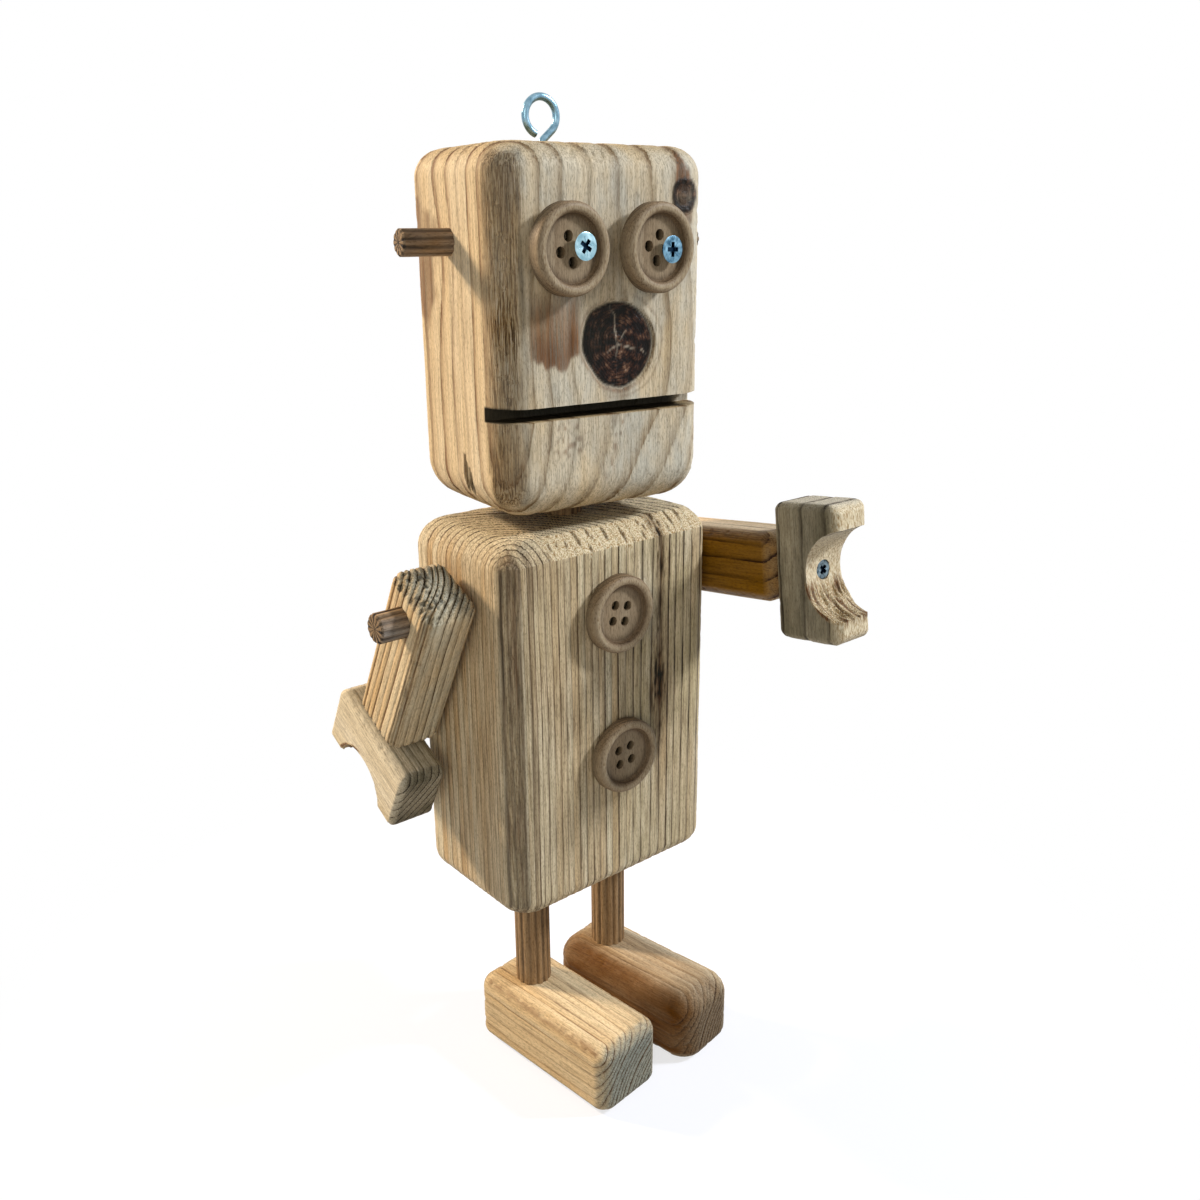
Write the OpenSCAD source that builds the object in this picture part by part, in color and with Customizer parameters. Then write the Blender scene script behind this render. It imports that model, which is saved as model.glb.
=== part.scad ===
// Wooden robot toy made of pine offcuts, dowels, turned buttons and a few screws.
// Millimetres. The floor is z = 0, the robot faces -Y and its neck stands on the Z axis.

/* [Torso] */
// Width of the torso block
torso_w = 80.5; // [70:0.5:100]
// Depth of the torso block
torso_d = 53.5; // [46:0.5:64]
// Height of the torso block
torso_h = 119.5; // [112:0.5:140]
// Radius of the torso's upright edges
torso_edge_r = 9; // [2:0.5:12]
// Radius of the torso's top edges
torso_top_r = 9; // [2:0.5:12]
// Radius of the torso's bottom edges
torso_bottom_r = 6; // [2:0.5:10]

/* [Head] */
// Width of the head block
head_w = 69.5; // [60:0.5:74]
// Depth of the head block
head_d = 55; // [48:0.5:62]
// Height of the head block
head_h = 99.5; // [94:0.5:120]
// Radius of the head's upright edges
head_edge_r = 10; // [3:0.5:12]
// Radius of the head's top edges
head_top_r = 8; // [2:0.5:10]
// Radius of the head's bottom edges
head_bottom_r = 12; // [3:0.5:14]
// Open height between the torso and the head
neck_gap = 4.9; // [2:0.1:12]
// Turn of the head to its left, negative to its right
head_turn = -6.5; // [-20:0.5:20]
// Height of the sawn mouth
mouth_h = 3.7; // [2:0.1:6]
// Depth of the sawn mouth
mouth_depth = 10; // [6:0.5:14]
// Height of the mouth's middle above the head's bottom
mouth_z = 30; // [24:0.5:36]

/* [Neck] */
// Diameter of the neck dowel
neck_dowel_d = 12; // [8:0.5:16]
// Length of the neck dowel in the torso
neck_in_torso = 14; // [8:0.5:16]
// Length of the neck dowel in the head
neck_in_head = 20; // [12:0.5:22]

/* [Ears] */
// Diameter of an ear peg
ear_peg_d = 7.5; // [5:0.5:10]
// Length of an ear peg outside the head
ear_length_out = 14.5; // [8:0.5:20]
// Length of an ear peg inside the head
ear_length_in = 14; // [8:0.5:16]
// Height of the ears above the head's bottom
ear_z = 74.6; // [66:0.1:80]

/* [Eyes] */
// Diameter of an eye button
eye_d = 24; // [22:0.5:27]
// Height of an eye button at its rim
eye_h = 5.5; // [4.6:0.1:8]
// Height of the eyes above the head's bottom
eye_z = 72.7; // [66:0.1:80]
// Distance of the right eye from the head's middle
right_eye_x = 15.6; // [14:0.1:18]
// Distance of the left eye from the head's middle
left_eye_x = 12.4; // [11:0.1:16]
// Tilt of the right eye to the robot's left
right_eye_tilt = 6; // [1:0.5:8]
// Tilt of the left eye to the robot's left
left_eye_tilt = 6; // [1:0.5:12]
// Turn of the right eye's four holes
right_eye_turn = 12; // [-20:1:20]
// Turn of the left eye's four holes
left_eye_turn = -8; // [-20:1:20]

/* [Chest buttons] */
// Diameter of a chest button
chest_button_d = 24; // [16:0.5:30]
// Height of a chest button at its rim
chest_button_h = 5; // [3.8:0.1:7]
// Height of the upper button above the torso's bottom
upper_button_z = 93.5; // [80:0.1:98]
// Height of the lower button above the torso's bottom
lower_button_z = 46.5; // [30:0.1:52]
// Distance of the upper button to the left of the middle
upper_button_x = -1.7; // [-6:0.1:6]
// Distance of the lower button to the left of the middle
lower_button_x = 0.2; // [-6:0.1:6]
// Turn of the upper button's four holes
upper_button_turn = 33; // [0:1:90]
// Turn of the lower button's four holes
lower_button_turn = 51; // [0:1:90]

/* [All buttons] */
// Radius of a button's round rim
button_rim_r = 1.6; // [1:0.05:1.8]
// Depth of a button's dish below its rim
button_dish = 2.2; // [1.8:0.05:2.4]
// Width of the slope between the rim and the dish's floor
button_slope = 0.5; // [0.3:0.1:1.5]
// Chamfer round a button's back
button_chamfer = 0.8; // [0.3:0.1:1.2]
// Diameter of a button's thread holes
button_hole_d = 2.7; // [1.5:0.1:3.2]
// Radius of the circle that a button's holes lie on
button_hole_circle = 3.4; // [3.2:0.1:4.4]

/* [Arms] */
// Distance of the shoulder dowel below the torso's top
shoulder_drop = 22.5; // [20.5:0.5:32]
// Distance of the shoulder dowel in front of the torso's middle
shoulder_front = 2.0; // [-4:0.1:6]
// Diameter of the shoulder dowel
shoulder_dowel_d = 9; // [6:0.5:11]
// Length of the shoulder dowel beyond each arm
shoulder_out = 8.4; // [2:0.1:14]
// Gap between the torso and an arm
arm_gap = 1.8; // [0.5:0.1:3]
// Width of an arm along the shoulder dowel
arm_w = 18; // [14:0.5:24]
// Depth of an arm
arm_d = 22.5; // [18:0.5:30]
// Length of an arm above the shoulder dowel
arm_above = 12.5; // [9:0.5:18]
// Length of an arm below the shoulder dowel
arm_below = 48.2; // [38:0.1:60]
// Radius of an arm's long edges
arm_edge_r = 3.5; // [1:0.1:5]
// Radius of an arm's ends
arm_end_r = 4.8; // [2:0.1:7]
// Swing of the right arm, positive to the back
right_arm_swing = 28.5; // [-180:0.5:180]
// Swing of the left arm, positive to the back
left_arm_swing = -97; // [-180:0.5:180]

/* [Hands] */
// Length of a hand across the arm
hand_l = 42.5; // [36:0.5:52]
// Depth of a hand along the arm
hand_t = 24.5; // [19:0.5:32]
// Width of a hand
hand_w = 16.5; // [12:0.5:20]
// Radius of the half-round grip
grip_r = 13.5; // [9:0.5:15]
// Depth of the grip
grip_depth = 11.5; // [7:0.1:13]
// Radius of a hand's edges
hand_edge_r = 2.2; // [1:0.1:3]
// Radius of a hand's corners
hand_corner_r = 3.2; // [1.5:0.1:5]
// Distance of the right hand outwards from the arm's middle
right_hand_out = 1.3; // [0:0.1:3]
// Distance of the left hand outwards from the arm's middle
left_hand_out = -0.9; // [-1:0.1:3]

/* [Legs] */
// Diameter of a leg dowel
leg_d = 12; // [8:0.5:16]
// Length of a leg between the foot and the torso
leg_length = 45.2; // [30:0.1:70]
// Length of a leg dowel in the torso
leg_in_torso = 25; // [12:0.5:40]
// Length of a leg dowel in the foot
leg_in_foot = 16; // [10:0.5:20]
// Distance between the two legs
leg_spacing = 34.1; // [32:0.1:44]
// Distance of the legs' middle to the left of the torso's middle
leg_shift = 2.3; // [-4:0.1:4]
// Distance of the legs behind the torso's middle
leg_back = 2.3; // [-4:0.1:6]

/* [Feet] */
// Length of a foot
foot_l = 62; // [50:0.5:80]
// Width of a foot
foot_w = 27; // [20:0.5:28]
// Height of a foot
foot_h = 25; // [22:0.5:36]
// Distance of the leg from the foot's heel
heel_l = 15; // [11:0.1:22]
// Turn of the right foot to the robot's left
right_foot_turn = 6; // [-10:0.5:8]
// Turn of the left foot to the robot's left
left_foot_turn = 9; // [4:0.5:12]
// Radius of the right foot's edges
right_foot_edge_r = 4.7; // [1.5:0.1:7]
// Radius of the left foot's edges
left_foot_edge_r = 7.4; // [1.5:0.1:8]
// Radius of the edges round both soles
sole_edge_r = 2; // [1:0.1:5]

/* [Screws] */
// Diameter of the screws
screw_d = 3.5; // [2.5:0.1:4]
// Diameter of the screws' heads
screw_head_d = 7.2; // [5.6:0.1:8]
// Height of the screws' countersunk heads
screw_head_h = 2; // [1.4:0.1:2.6]
// Length of an eye screw under its head
eye_screw_l = 22; // [14:0.5:26]
// Length of a hand screw under its head
hand_screw_l = 32; // [24:0.5:38]
// Width of the cross recess's bars
recess_bar = 0.9; // [0.6:0.05:1.2]
// Span of the cross recess
recess_span = 4; // [2.8:0.1:4.6]
// Depth of the cross recess
recess_depth = 1.2; // [0.6:0.05:1.4]

/* [Screw eye] */
// Diameter of the screw eye's wire
wire_d = 2.1; // [1.4:0.05:2.4]
// Radius of the ring at the wire's middle
ring_r = 5; // [4.4:0.1:8]
// Height of the ring's lower point above the head
ring_stem = 1.5; // [1:0.1:6]
// Length that the wire is drawn in below the round of the ring
ring_neck = 1.6; // [1.4:0.1:6]
// Length of the screw eye's thread in the head
eye_thread_l = 16; // [8:0.5:22]
// Gap between the wire's end and its stem
wire_end_gap = 0.5; // [0.3:0.1:1.2]
// Distance of the screw eye to the right of the head's middle
ring_right = 3.4; // [-6:0.1:6]
// Distance of the screw eye behind the head's middle
ring_back = 2; // [-6:0.1:6]

/* [Fits] */
// Radial gap of a glued dowel or a driven screw
glue_gap = 0.05; // [0.02:0.01:0.1]
// Radial gap of a dowel that something turns on
turning_gap = 0.08; // [0.03:0.01:0.1]
// Radial gap of a screw in the hole it is passed through
screw_gap = 0.2; // [0.1:0.05:0.3]

/* [Hidden] */
$fn = 64;

// The robot's own right is on -X
RIGHT = -1;
LEFT = 1;

// Colours of the finishes
pine = "#cdb083";
pine_warm = "#c9a063";
dowel_brown = "#8a6a48";
button_brown = "#a8845a";
zinc = "#b9c4cc";

// Cuts reach this far past the faces they open
past = 1;
// Chamfer of a dowel's ends
dowel_chamfer = 0.6;
// Length of a screw's pointed end
screw_tip = 5;

// Heights of the main blocks
torso_z = foot_h + leg_length;
torso_top = torso_z + torso_h;
head_z = torso_top + neck_gap;
shoulder_z = torso_top - shoulder_drop;

// An eye button is dished down to this height
eye_floor = eye_h - button_dish;

// Middles of the arms along X, and the place of the grip along the arm
arm_x = torso_w / 2 + arm_gap + arm_w / 2;
grip_floor = arm_below + hand_t - grip_depth;
grip_middle = grip_floor + grip_r;

// Distance from the ring's middle to its lower point
ring_drop = ring_r + ring_neck;
// The ring's straight side leaves the circle at this angle from straight down and runs to the stem
ring_angle = acos(ring_r / ring_drop);
straight_l = sqrt(ring_drop * ring_drop - ring_r * ring_r);
// The wire's swelling at a bend, and how far from the bend's middle the ring and the straight end
wire_bend_d = 1.06 * wire_d;
bend_cut = 0.08 * wire_d;
bend_cut_angle = asin(bend_cut / ring_r);
// The wire's free end stays on the circle and stops short of the straight side
free_angle = acos(1 - (wire_d + wire_end_gap) / ring_r) - ring_angle;
ring_z = head_h + ring_stem + ring_drop;

// Outline standing on y = 0 with rounded corners, one radius for the low ones and one for the high ones
module round_outline(w, h, r_low, r_high) {
    translate([-w / 2, r_low])
        square([w, h - r_low - r_high]);
    translate([-w / 2 + r_low, 0])
        square([w - 2 * r_low, r_low]);
    translate([-w / 2 + r_high, h - r_high])
        square([w - 2 * r_high, r_high]);
    for (side = [-1, 1]) {
        translate([side * (w / 2 - r_low), r_low])
            circle(r_low);
        translate([side * (w / 2 - r_high), h - r_high])
            circle(r_high);
    }
}

// Block standing on z = 0 whose upright, low and high edges are sanded round
module sanded_block(w, d, h, r_edge, r_low, r_high) {
    intersection() {
        translate([0, -d / 2, 0])
            linear_extrude(h)
                round_outline(w, d, r_edge, r_edge);
        rotate([90, 0, 0])
            translate([0, 0, -d / 2])
                linear_extrude(d)
                    round_outline(w, h, r_low, r_high);
        rotate([90, 0, 90])
            translate([0, 0, -w / 2])
                linear_extrude(w)
                    round_outline(d, h, r_low, r_high);
    }
}

// Dowel from z = 0 upwards with a chamfer at both ends
module dowel(d, l) {
    rotate_extrude()
        polygon([
            [0, 0],
            [d / 2 - dowel_chamfer, 0],
            [d / 2, dowel_chamfer],
            [d / 2, l - dowel_chamfer],
            [d / 2 - dowel_chamfer, l],
            [0, l]
        ]);
}

// Turned button lying on z = 0: round rim, dished middle and four holes, the first of them first_hole_d wide
module button(d, h, turn, first_hole_d) {
    rim_middle = d / 2 - button_rim_r;
    floor_h = h - button_dish;
    difference() {
        rotate_extrude() {
            polygon([
                [0, 0],
                [d / 2 - button_chamfer, 0],
                [d / 2, button_chamfer],
                [d / 2, h - button_rim_r],
                [rim_middle - button_rim_r, h - button_rim_r],
                [rim_middle - button_rim_r - button_slope, floor_h],
                [0, floor_h]
            ]);
            translate([rim_middle, h - button_rim_r])
                circle(button_rim_r);
        }
        for (i = [0 : 3])
            rotate([0, 0, turn + 90 * i])
                translate([button_hole_circle, 0, -past])
                    cylinder(d = i == 0 ? first_hole_d : button_hole_d, h = h + 2 * past);
    }
}

// Countersunk screw pointing down, with the underside of its head at z = 0
module screw(l) {
    difference() {
        rotate_extrude()
            polygon([
                [0, screw_head_h],
                [screw_head_d / 2, screw_head_h],
                [screw_d / 2, 0],
                [screw_d / 2, screw_tip - l],
                [0, -l]
            ]);
        for (turn = [45, 135])
            rotate([0, 0, turn])
                translate([-recess_span / 2, -recess_bar / 2, screw_head_h - recess_depth])
                    cube([recess_span, recess_bar, recess_depth + past]);
    }
}

// Straight hole for a screw's shank, open past the underside of its head
module screw_room(l, gap) {
    translate([0, 0, -l])
        cylinder(d = screw_d + 2 * gap, h = l + past);
}

// Places what belongs to the head, at the head's height and turn
module on_head() {
    translate([0, 0, head_z])
        rotate([0, 0, head_turn])
            children();
}

// Places an eye: its back's edge on the head's front face, tilted to the robot's left
module on_face(x, tilt) {
    lift = (eye_d / 2 - button_chamfer) * sin(tilt) + glue_gap;
    translate([x, -head_d / 2 - lift, eye_z])
        rotate([0, 0, tilt])
            rotate([90, 0, 0])
                children();
}

// Places an eye's screw: through the button's first hole, its head on the dish's floor
module on_eye_hole(x, tilt, turn) {
    on_face(x, tilt)
        rotate([0, 0, turn])
            translate([button_hole_circle, 0, eye_floor])
                children();
}

// Places what lies flat on the torso's front
module on_chest(x, z) {
    translate([x, -torso_d / 2, torso_z + z])
        rotate([90, 0, 0])
            children();
}

// Places an arm: the shoulder dowel's axis is X, and the arm hangs along -Z before it is swung
module on_shoulder(side, swing) {
    translate([side * arm_x, -shoulder_front, shoulder_z])
        rotate([swing, 0, 0])
            children();
}

// Places a leg: its dowel stands on the Z axis and the foot points along -Y before it is turned
module on_leg(side) {
    translate([leg_shift + side * leg_spacing / 2, leg_back, 0])
        rotate([0, 0, side == RIGHT ? right_foot_turn : left_foot_turn])
            children();
}

module torso_block() {
    color(pine)
        difference() {
            translate([0, 0, torso_z])
                sanded_block(torso_w, torso_d, torso_h, torso_edge_r, torso_bottom_r, torso_top_r);
            translate([0, 0, torso_top - neck_in_torso])
                cylinder(d = neck_dowel_d + 2 * glue_gap, h = neck_in_torso + past);
            translate([-torso_w / 2 - past, -shoulder_front, shoulder_z])
                rotate([0, 90, 0])
                    cylinder(d = shoulder_dowel_d + 2 * glue_gap, h = torso_w + 2 * past);
            for (side = [RIGHT, LEFT])
                on_leg(side)
                    translate([0, 0, torso_z - past])
                        cylinder(d = leg_d + 2 * turning_gap, h = leg_in_torso + past);
        }
}

module upper_chest_button() {
    color(button_brown)
        on_chest(upper_button_x, upper_button_z)
            button(chest_button_d, chest_button_h, upper_button_turn, button_hole_d);
}

module lower_chest_button() {
    color(button_brown)
        on_chest(lower_button_x, lower_button_z)
            button(chest_button_d, chest_button_h, lower_button_turn, button_hole_d);
}

module neck_dowel() {
    color(dowel_brown)
        translate([0, 0, torso_top - neck_in_torso])
            dowel(neck_dowel_d, neck_in_torso + neck_gap + neck_in_head);
}

module shoulder_dowel() {
    half_l = arm_x + arm_w / 2 + shoulder_out;
    color(dowel_brown)
        translate([-half_l, -shoulder_front, shoulder_z])
            rotate([0, 90, 0])
                dowel(shoulder_dowel_d, 2 * half_l);
}

module head_block() {
    color(pine)
        on_head()
            difference() {
                sanded_block(head_w, head_d, head_h, head_edge_r, head_bottom_r, head_top_r);
                translate([-head_w / 2 - past, -head_d / 2 - past, mouth_z - mouth_h / 2])
                    cube([head_w + 2 * past, mouth_depth + past, mouth_h]);
                translate([0, 0, -past])
                    cylinder(d = neck_dowel_d + 2 * turning_gap, h = neck_in_head + past);
                for (side = [RIGHT, LEFT])
                    translate([side * (head_w / 2 - ear_length_in), 0, ear_z])
                        rotate([0, side * 90, 0])
                            cylinder(d = ear_peg_d + 2 * glue_gap, h = ear_length_in + past);
                on_eye_hole(-right_eye_x, right_eye_tilt, right_eye_turn)
                    screw_room(eye_screw_l, glue_gap);
                on_eye_hole(left_eye_x, left_eye_tilt, left_eye_turn)
                    screw_room(eye_screw_l, glue_gap);
                translate([-ring_right, ring_back, head_h - eye_thread_l])
                    cylinder(d = wire_d + 2 * glue_gap, h = eye_thread_l + past);
            }
}

module ear_peg(side) {
    color(dowel_brown)
        on_head()
            translate([side * (head_w / 2 - ear_length_in), 0, ear_z])
                rotate([0, side * 90, 0])
                    dowel(ear_peg_d, ear_length_in + ear_length_out);
}

module right_ear_peg() {
    ear_peg(RIGHT);
}

module left_ear_peg() {
    ear_peg(LEFT);
}

module right_eye_button() {
    color(button_brown)
        on_head()
            on_face(-right_eye_x, right_eye_tilt)
                button(eye_d, eye_h, right_eye_turn, screw_d + 2 * screw_gap);
}

module left_eye_button() {
    color(button_brown)
        on_head()
            on_face(left_eye_x, left_eye_tilt)
                button(eye_d, eye_h, left_eye_turn, screw_d + 2 * screw_gap);
}

module right_eye_screw() {
    color(zinc)
        on_head()
            on_eye_hole(-right_eye_x, right_eye_tilt, right_eye_turn)
                screw(eye_screw_l);
}

module left_eye_screw() {
    color(zinc)
        on_head()
            on_eye_hole(left_eye_x, left_eye_tilt, left_eye_turn)
                screw(eye_screw_l);
}

// Ring of bent wire drawn in to its stem, open beside the stem, with a plain shank for the thread.
// The wire swells a little at its two bends, and the straight and the ring end inside the swellings.
module hanging_screw_eye() {
    color(zinc)
        on_head()
            translate([-ring_right, ring_back, ring_z]) {
                rotate([90, 0, 0])
                    rotate([0, 0, ring_angle - 90 + bend_cut_angle])
                        rotate_extrude(angle = 360 - ring_angle - free_angle - bend_cut_angle)
                            translate([ring_r, 0])
                                circle(d = wire_d);
                rotate([0, -ring_angle, 0])
                    translate([0, 0, -ring_r]) {
                        sphere(d = wire_bend_d);
                        rotate([0, -90, 0])
                            translate([0, 0, bend_cut])
                                cylinder(d = wire_d, h = straight_l - bend_cut);
                    }
                translate([0, 0, -ring_drop])
                    sphere(d = wire_bend_d);
                translate([0, 0, -ring_drop - ring_stem - eye_thread_l])
                    cylinder(d = wire_d, h = eye_thread_l + ring_stem);
            }
}

// Arm bar with rounded long edges and sanded ends, the dowel's hole across it and the screw's hole in its end
module arm_block(side, swing, hand_out) {
    color(pine_warm)
        on_shoulder(side, swing)
            difference() {
                translate([0, 0, -arm_below])
                    sanded_block(arm_w, arm_d, arm_above + arm_below, arm_edge_r, arm_end_r, arm_end_r);
                translate([-arm_w / 2 - past, 0, 0])
                    rotate([0, 90, 0])
                        cylinder(d = shoulder_dowel_d + 2 * turning_gap, h = arm_w + 2 * past);
                on_grip_floor(side, hand_out)
                    screw_room(hand_screw_l, glue_gap);
            }
}

// Places a hand's screw: it points up the arm, with its head let in flush with the grip's floor
module on_grip_floor(side, hand_out) {
    translate([side * hand_out, 0, screw_head_h - grip_floor])
        rotate([180, 0, 0])
            children();
}

// Hand block across the arm's end with a half-round grip and a countersunk hole
module hand(side, swing, hand_out) {
    shank_room = screw_d + 2 * screw_gap;
    head_room = screw_head_d + 2 * screw_gap;
    color(pine)
        on_shoulder(side, swing)
            difference() {
                translate([side * hand_out, 0, -arm_below - hand_t])
                    sanded_block(hand_w, hand_l, hand_t, hand_edge_r, hand_corner_r, hand_corner_r);
                translate([side * hand_out - hand_w / 2 - past, 0, -grip_middle])
                    rotate([0, 90, 0])
                        cylinder(r = grip_r, h = hand_w + 2 * past);
                on_grip_floor(side, hand_out) {
                    screw_room(hand_screw_l, screw_gap);
                    cylinder(d1 = shank_room, d2 = head_room, h = screw_head_h);
                    translate([0, 0, screw_head_h])
                        cylinder(d = head_room, h = past);
                }
            }
}

module hand_screw(side, swing, hand_out) {
    color(zinc)
        on_shoulder(side, swing)
            on_grip_floor(side, hand_out)
                screw(hand_screw_l);
}

module right_arm_block() {
    arm_block(RIGHT, right_arm_swing, right_hand_out);
}

module right_hand() {
    hand(RIGHT, right_arm_swing, right_hand_out);
}

module right_hand_screw() {
    hand_screw(RIGHT, right_arm_swing, right_hand_out);
}

module left_arm_block() {
    arm_block(LEFT, left_arm_swing, left_hand_out);
}

module left_hand() {
    hand(LEFT, left_arm_swing, left_hand_out);
}

module left_hand_screw() {
    hand_screw(LEFT, left_arm_swing, left_hand_out);
}

module leg_dowel(side) {
    color(dowel_brown)
        on_leg(side)
            translate([0, 0, foot_h - leg_in_foot])
                dowel(leg_d, leg_in_foot + leg_length + leg_in_torso);
}

module foot(side, edge_r) {
    color(pine_warm)
        on_leg(side)
            difference() {
                translate([0, heel_l - foot_l / 2, 0])
                    sanded_block(foot_w, foot_l, foot_h, edge_r, sole_edge_r, edge_r);
                translate([0, 0, foot_h - leg_in_foot])
                    cylinder(d = leg_d + 2 * glue_gap, h = leg_in_foot + past);
            }
}

module right_leg_dowel() {
    leg_dowel(RIGHT);
}

module right_foot() {
    foot(RIGHT, right_foot_edge_r);
}

module left_leg_dowel() {
    leg_dowel(LEFT);
}

module left_foot() {
    foot(LEFT, left_foot_edge_r);
}

torso_block();
upper_chest_button();
lower_chest_button();
neck_dowel();
shoulder_dowel();
head_block();
right_ear_peg();
left_ear_peg();
right_eye_button();
left_eye_button();
right_eye_screw();
left_eye_screw();
hanging_screw_eye();
right_arm_block();
right_hand();
right_hand_screw();
left_arm_block();
left_hand();
left_hand_screw();
right_leg_dowel();
right_foot();
left_leg_dowel();
left_foot();
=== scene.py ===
# %% [markdown]
# A wooden robot toy, made by hand from pine offcuts, dowels, turned buttons and a few screws.
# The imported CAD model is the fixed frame: every piece below lies where a CAD node lies.
# Lengths are in millimetres while a shape is worked out, and become metres when it is put into a mesh.

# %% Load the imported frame
import math

import bpy
import numpy as np
from mathutils import Matrix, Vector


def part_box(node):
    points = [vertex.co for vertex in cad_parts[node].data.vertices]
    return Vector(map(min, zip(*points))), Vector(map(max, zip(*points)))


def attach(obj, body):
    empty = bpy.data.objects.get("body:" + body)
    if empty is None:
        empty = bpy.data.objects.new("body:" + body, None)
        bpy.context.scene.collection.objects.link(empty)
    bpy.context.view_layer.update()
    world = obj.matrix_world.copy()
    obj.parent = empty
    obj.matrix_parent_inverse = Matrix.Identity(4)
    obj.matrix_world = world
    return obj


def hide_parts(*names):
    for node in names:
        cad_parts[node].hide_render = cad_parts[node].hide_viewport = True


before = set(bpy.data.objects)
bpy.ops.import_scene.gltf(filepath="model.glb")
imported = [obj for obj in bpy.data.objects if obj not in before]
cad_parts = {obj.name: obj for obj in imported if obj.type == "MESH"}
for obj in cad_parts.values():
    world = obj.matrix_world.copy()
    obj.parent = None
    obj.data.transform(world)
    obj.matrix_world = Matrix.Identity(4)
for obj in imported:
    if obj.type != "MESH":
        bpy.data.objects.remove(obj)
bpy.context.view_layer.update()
MM = 0.001

# %% [markdown]
# The camera stands where the photograph was taken: to the toy's right, a little above its middle.
# Its place was found by matching the edges of the head, torso, arms and feet, so it is written as numbers.
# Building the axes by hand, and not with a constraint, lets the small roll be kept. The lamps use them too.

# %% Camera
CAMERA_PLACE = np.array([-206.27, -265.38, 271.86])
CAMERA_AIM = np.array([14.9, 0.0, 157.0])
CAMERA_ROLL = -0.47
CAMERA_LENS = 33.34
SENSOR_WIDTH = 36


def unit(vector):
    """The vector divided by its length."""
    return vector / np.linalg.norm(vector)


def aimed(place, backward, roll=0.0):
    """Matrix of a camera or lamp at a place in mm: z points backward, x is level and then turned by the roll in
    degrees, and y is z crossed with x."""
    level = unit(np.cross([0.0, 0.0, 1.0], backward))
    turn = math.radians(roll)
    x = math.cos(turn) * level + math.sin(turn) * np.cross(backward, level)
    axes = np.eye(4)
    axes[:3, :4] = np.stack([x, np.cross(backward, x), backward, place * MM], 1)
    return Matrix(axes.tolist())


camera_data = bpy.data.cameras.new("camera")
camera_data.lens = CAMERA_LENS
camera_data.sensor_width = SENSOR_WIDTH
camera = bpy.data.objects.new("camera", camera_data)
bpy.context.scene.collection.objects.link(camera)
camera.matrix_world = aimed(CAMERA_PLACE, unit(CAMERA_PLACE - CAMERA_AIM), CAMERA_ROLL)
bpy.context.scene.camera = camera
print("camera at", CAMERA_PLACE, "mm with a lens of", CAMERA_LENS, "mm")

# %% [markdown]
# Nothing on a handmade toy is quite even, so most shapes below need a slow, smooth, repeatable unevenness.
# Blender's own noise lives in its textures, where the mesh can't read it, so a small lattice noise is made here.
# Random values sit on the corners of a lattice, and a point takes the smooth blend of the eight around it.

# %% Smooth steps and lattice noise
NOISE_CELLS = 24


def smooth(values, start, stop):
    """0 before start, 1 after stop, and the curve 3t^2 - 2t^3 between them."""
    t = np.clip((values - start) / (stop - start), 0, 1)
    return t * t * (3 - 2 * t)


def lattice_noise(points, pitch, seed):
    """Noise from -1 to 1: the blend of the eight lattice values round a point, weighted by 3t^2 - 2t^3 on each
    axis."""
    table = np.random.default_rng(seed).uniform(-1, 1, (NOISE_CELLS,) * 3)
    cell = points / np.asarray(pitch, float)
    low = np.floor(cell).astype(int)
    part = smooth(cell - low, 0, 1)
    total = np.zeros(cell.shape[:-1])
    for corner in np.ndindex(2, 2, 2):
        index = (low + corner) % NOISE_CELLS
        weight = np.prod(np.where(corner, part, 1 - part), -1)
        total += weight * table[index[..., 0], index[..., 1], index[..., 2]]
    return total


def depth_noise(points, pitch, seed):
    """The same noise moved to run from 0 to 1, for depths."""
    return 0.5 + 0.5 * lattice_noise(points, pitch, seed)


print("noise at the origin:", lattice_noise(np.zeros((1, 3)), 10, 1).round(3))

# %% [markdown]
# Every CAD node has a place made of moves and turns, such as the arm's swing about the shoulder dowel.
# The same moves and turns are repeated here as matrices, in millimetres, so a piece can be shaped lying straight
# and then put where its node is.

# %% Moves and turns
PLANES = {"x": (1, 2), "y": (2, 0), "z": (0, 1)}


def moved(x, y, z):
    """Matrix of a move."""
    matrix = np.eye(4)
    matrix[:3, 3] = x, y, z
    return matrix


def turned(axis, degrees):
    """Matrix of a turn: cos and sin of the angle in the plane across the axis."""
    i, j = PLANES[axis]
    matrix = np.eye(4)
    matrix[i, i] = matrix[j, j] = math.cos(math.radians(degrees))
    matrix[j, i] = math.sin(math.radians(degrees))
    matrix[i, j] = -matrix[j, i]
    return matrix


RIGHT, LEFT = -1, 1
SIDES = {RIGHT: "right", LEFT: "left"}
TORSO_Z = 70.2
HEAD_Z, HEAD_TURN = 194.6, -6.5
ARM_X, SHOULDER_Y, SHOULDER_Z = 51.05, -2.0, 167.2
ARM_SWING = {RIGHT: 28.5, LEFT: -97}
LEGS_X, LEGS_Y, LEG_APART = 2.3, 2.3, 17.05
FOOT_TURN = {RIGHT: 6, LEFT: 9}
on_torso = moved(0, 0, TORSO_Z)
on_head = moved(0, 0, HEAD_Z) @ turned("z", HEAD_TURN)
on_arm, on_leg = {}, {}
for side in SIDES:
    on_arm[side] = moved(side * ARM_X, SHOULDER_Y, SHOULDER_Z) @ turned("x", ARM_SWING[side])
    on_leg[side] = moved(LEGS_X + side * LEG_APART, LEGS_Y, 0) @ turned("z", FOOT_TURN[side])
print("places:", 2 + len(on_arm) + len(on_leg))

# %% [markdown]
# Each piece is a grid of points: rows that climb it and columns that go round it.
# A sanded block is such a grid when its rows are outlines with rounded corners that draw in at the top and bottom.
# Bevelling a cube would give the same outline, but not the rows and columns that fine carving needs.

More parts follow.
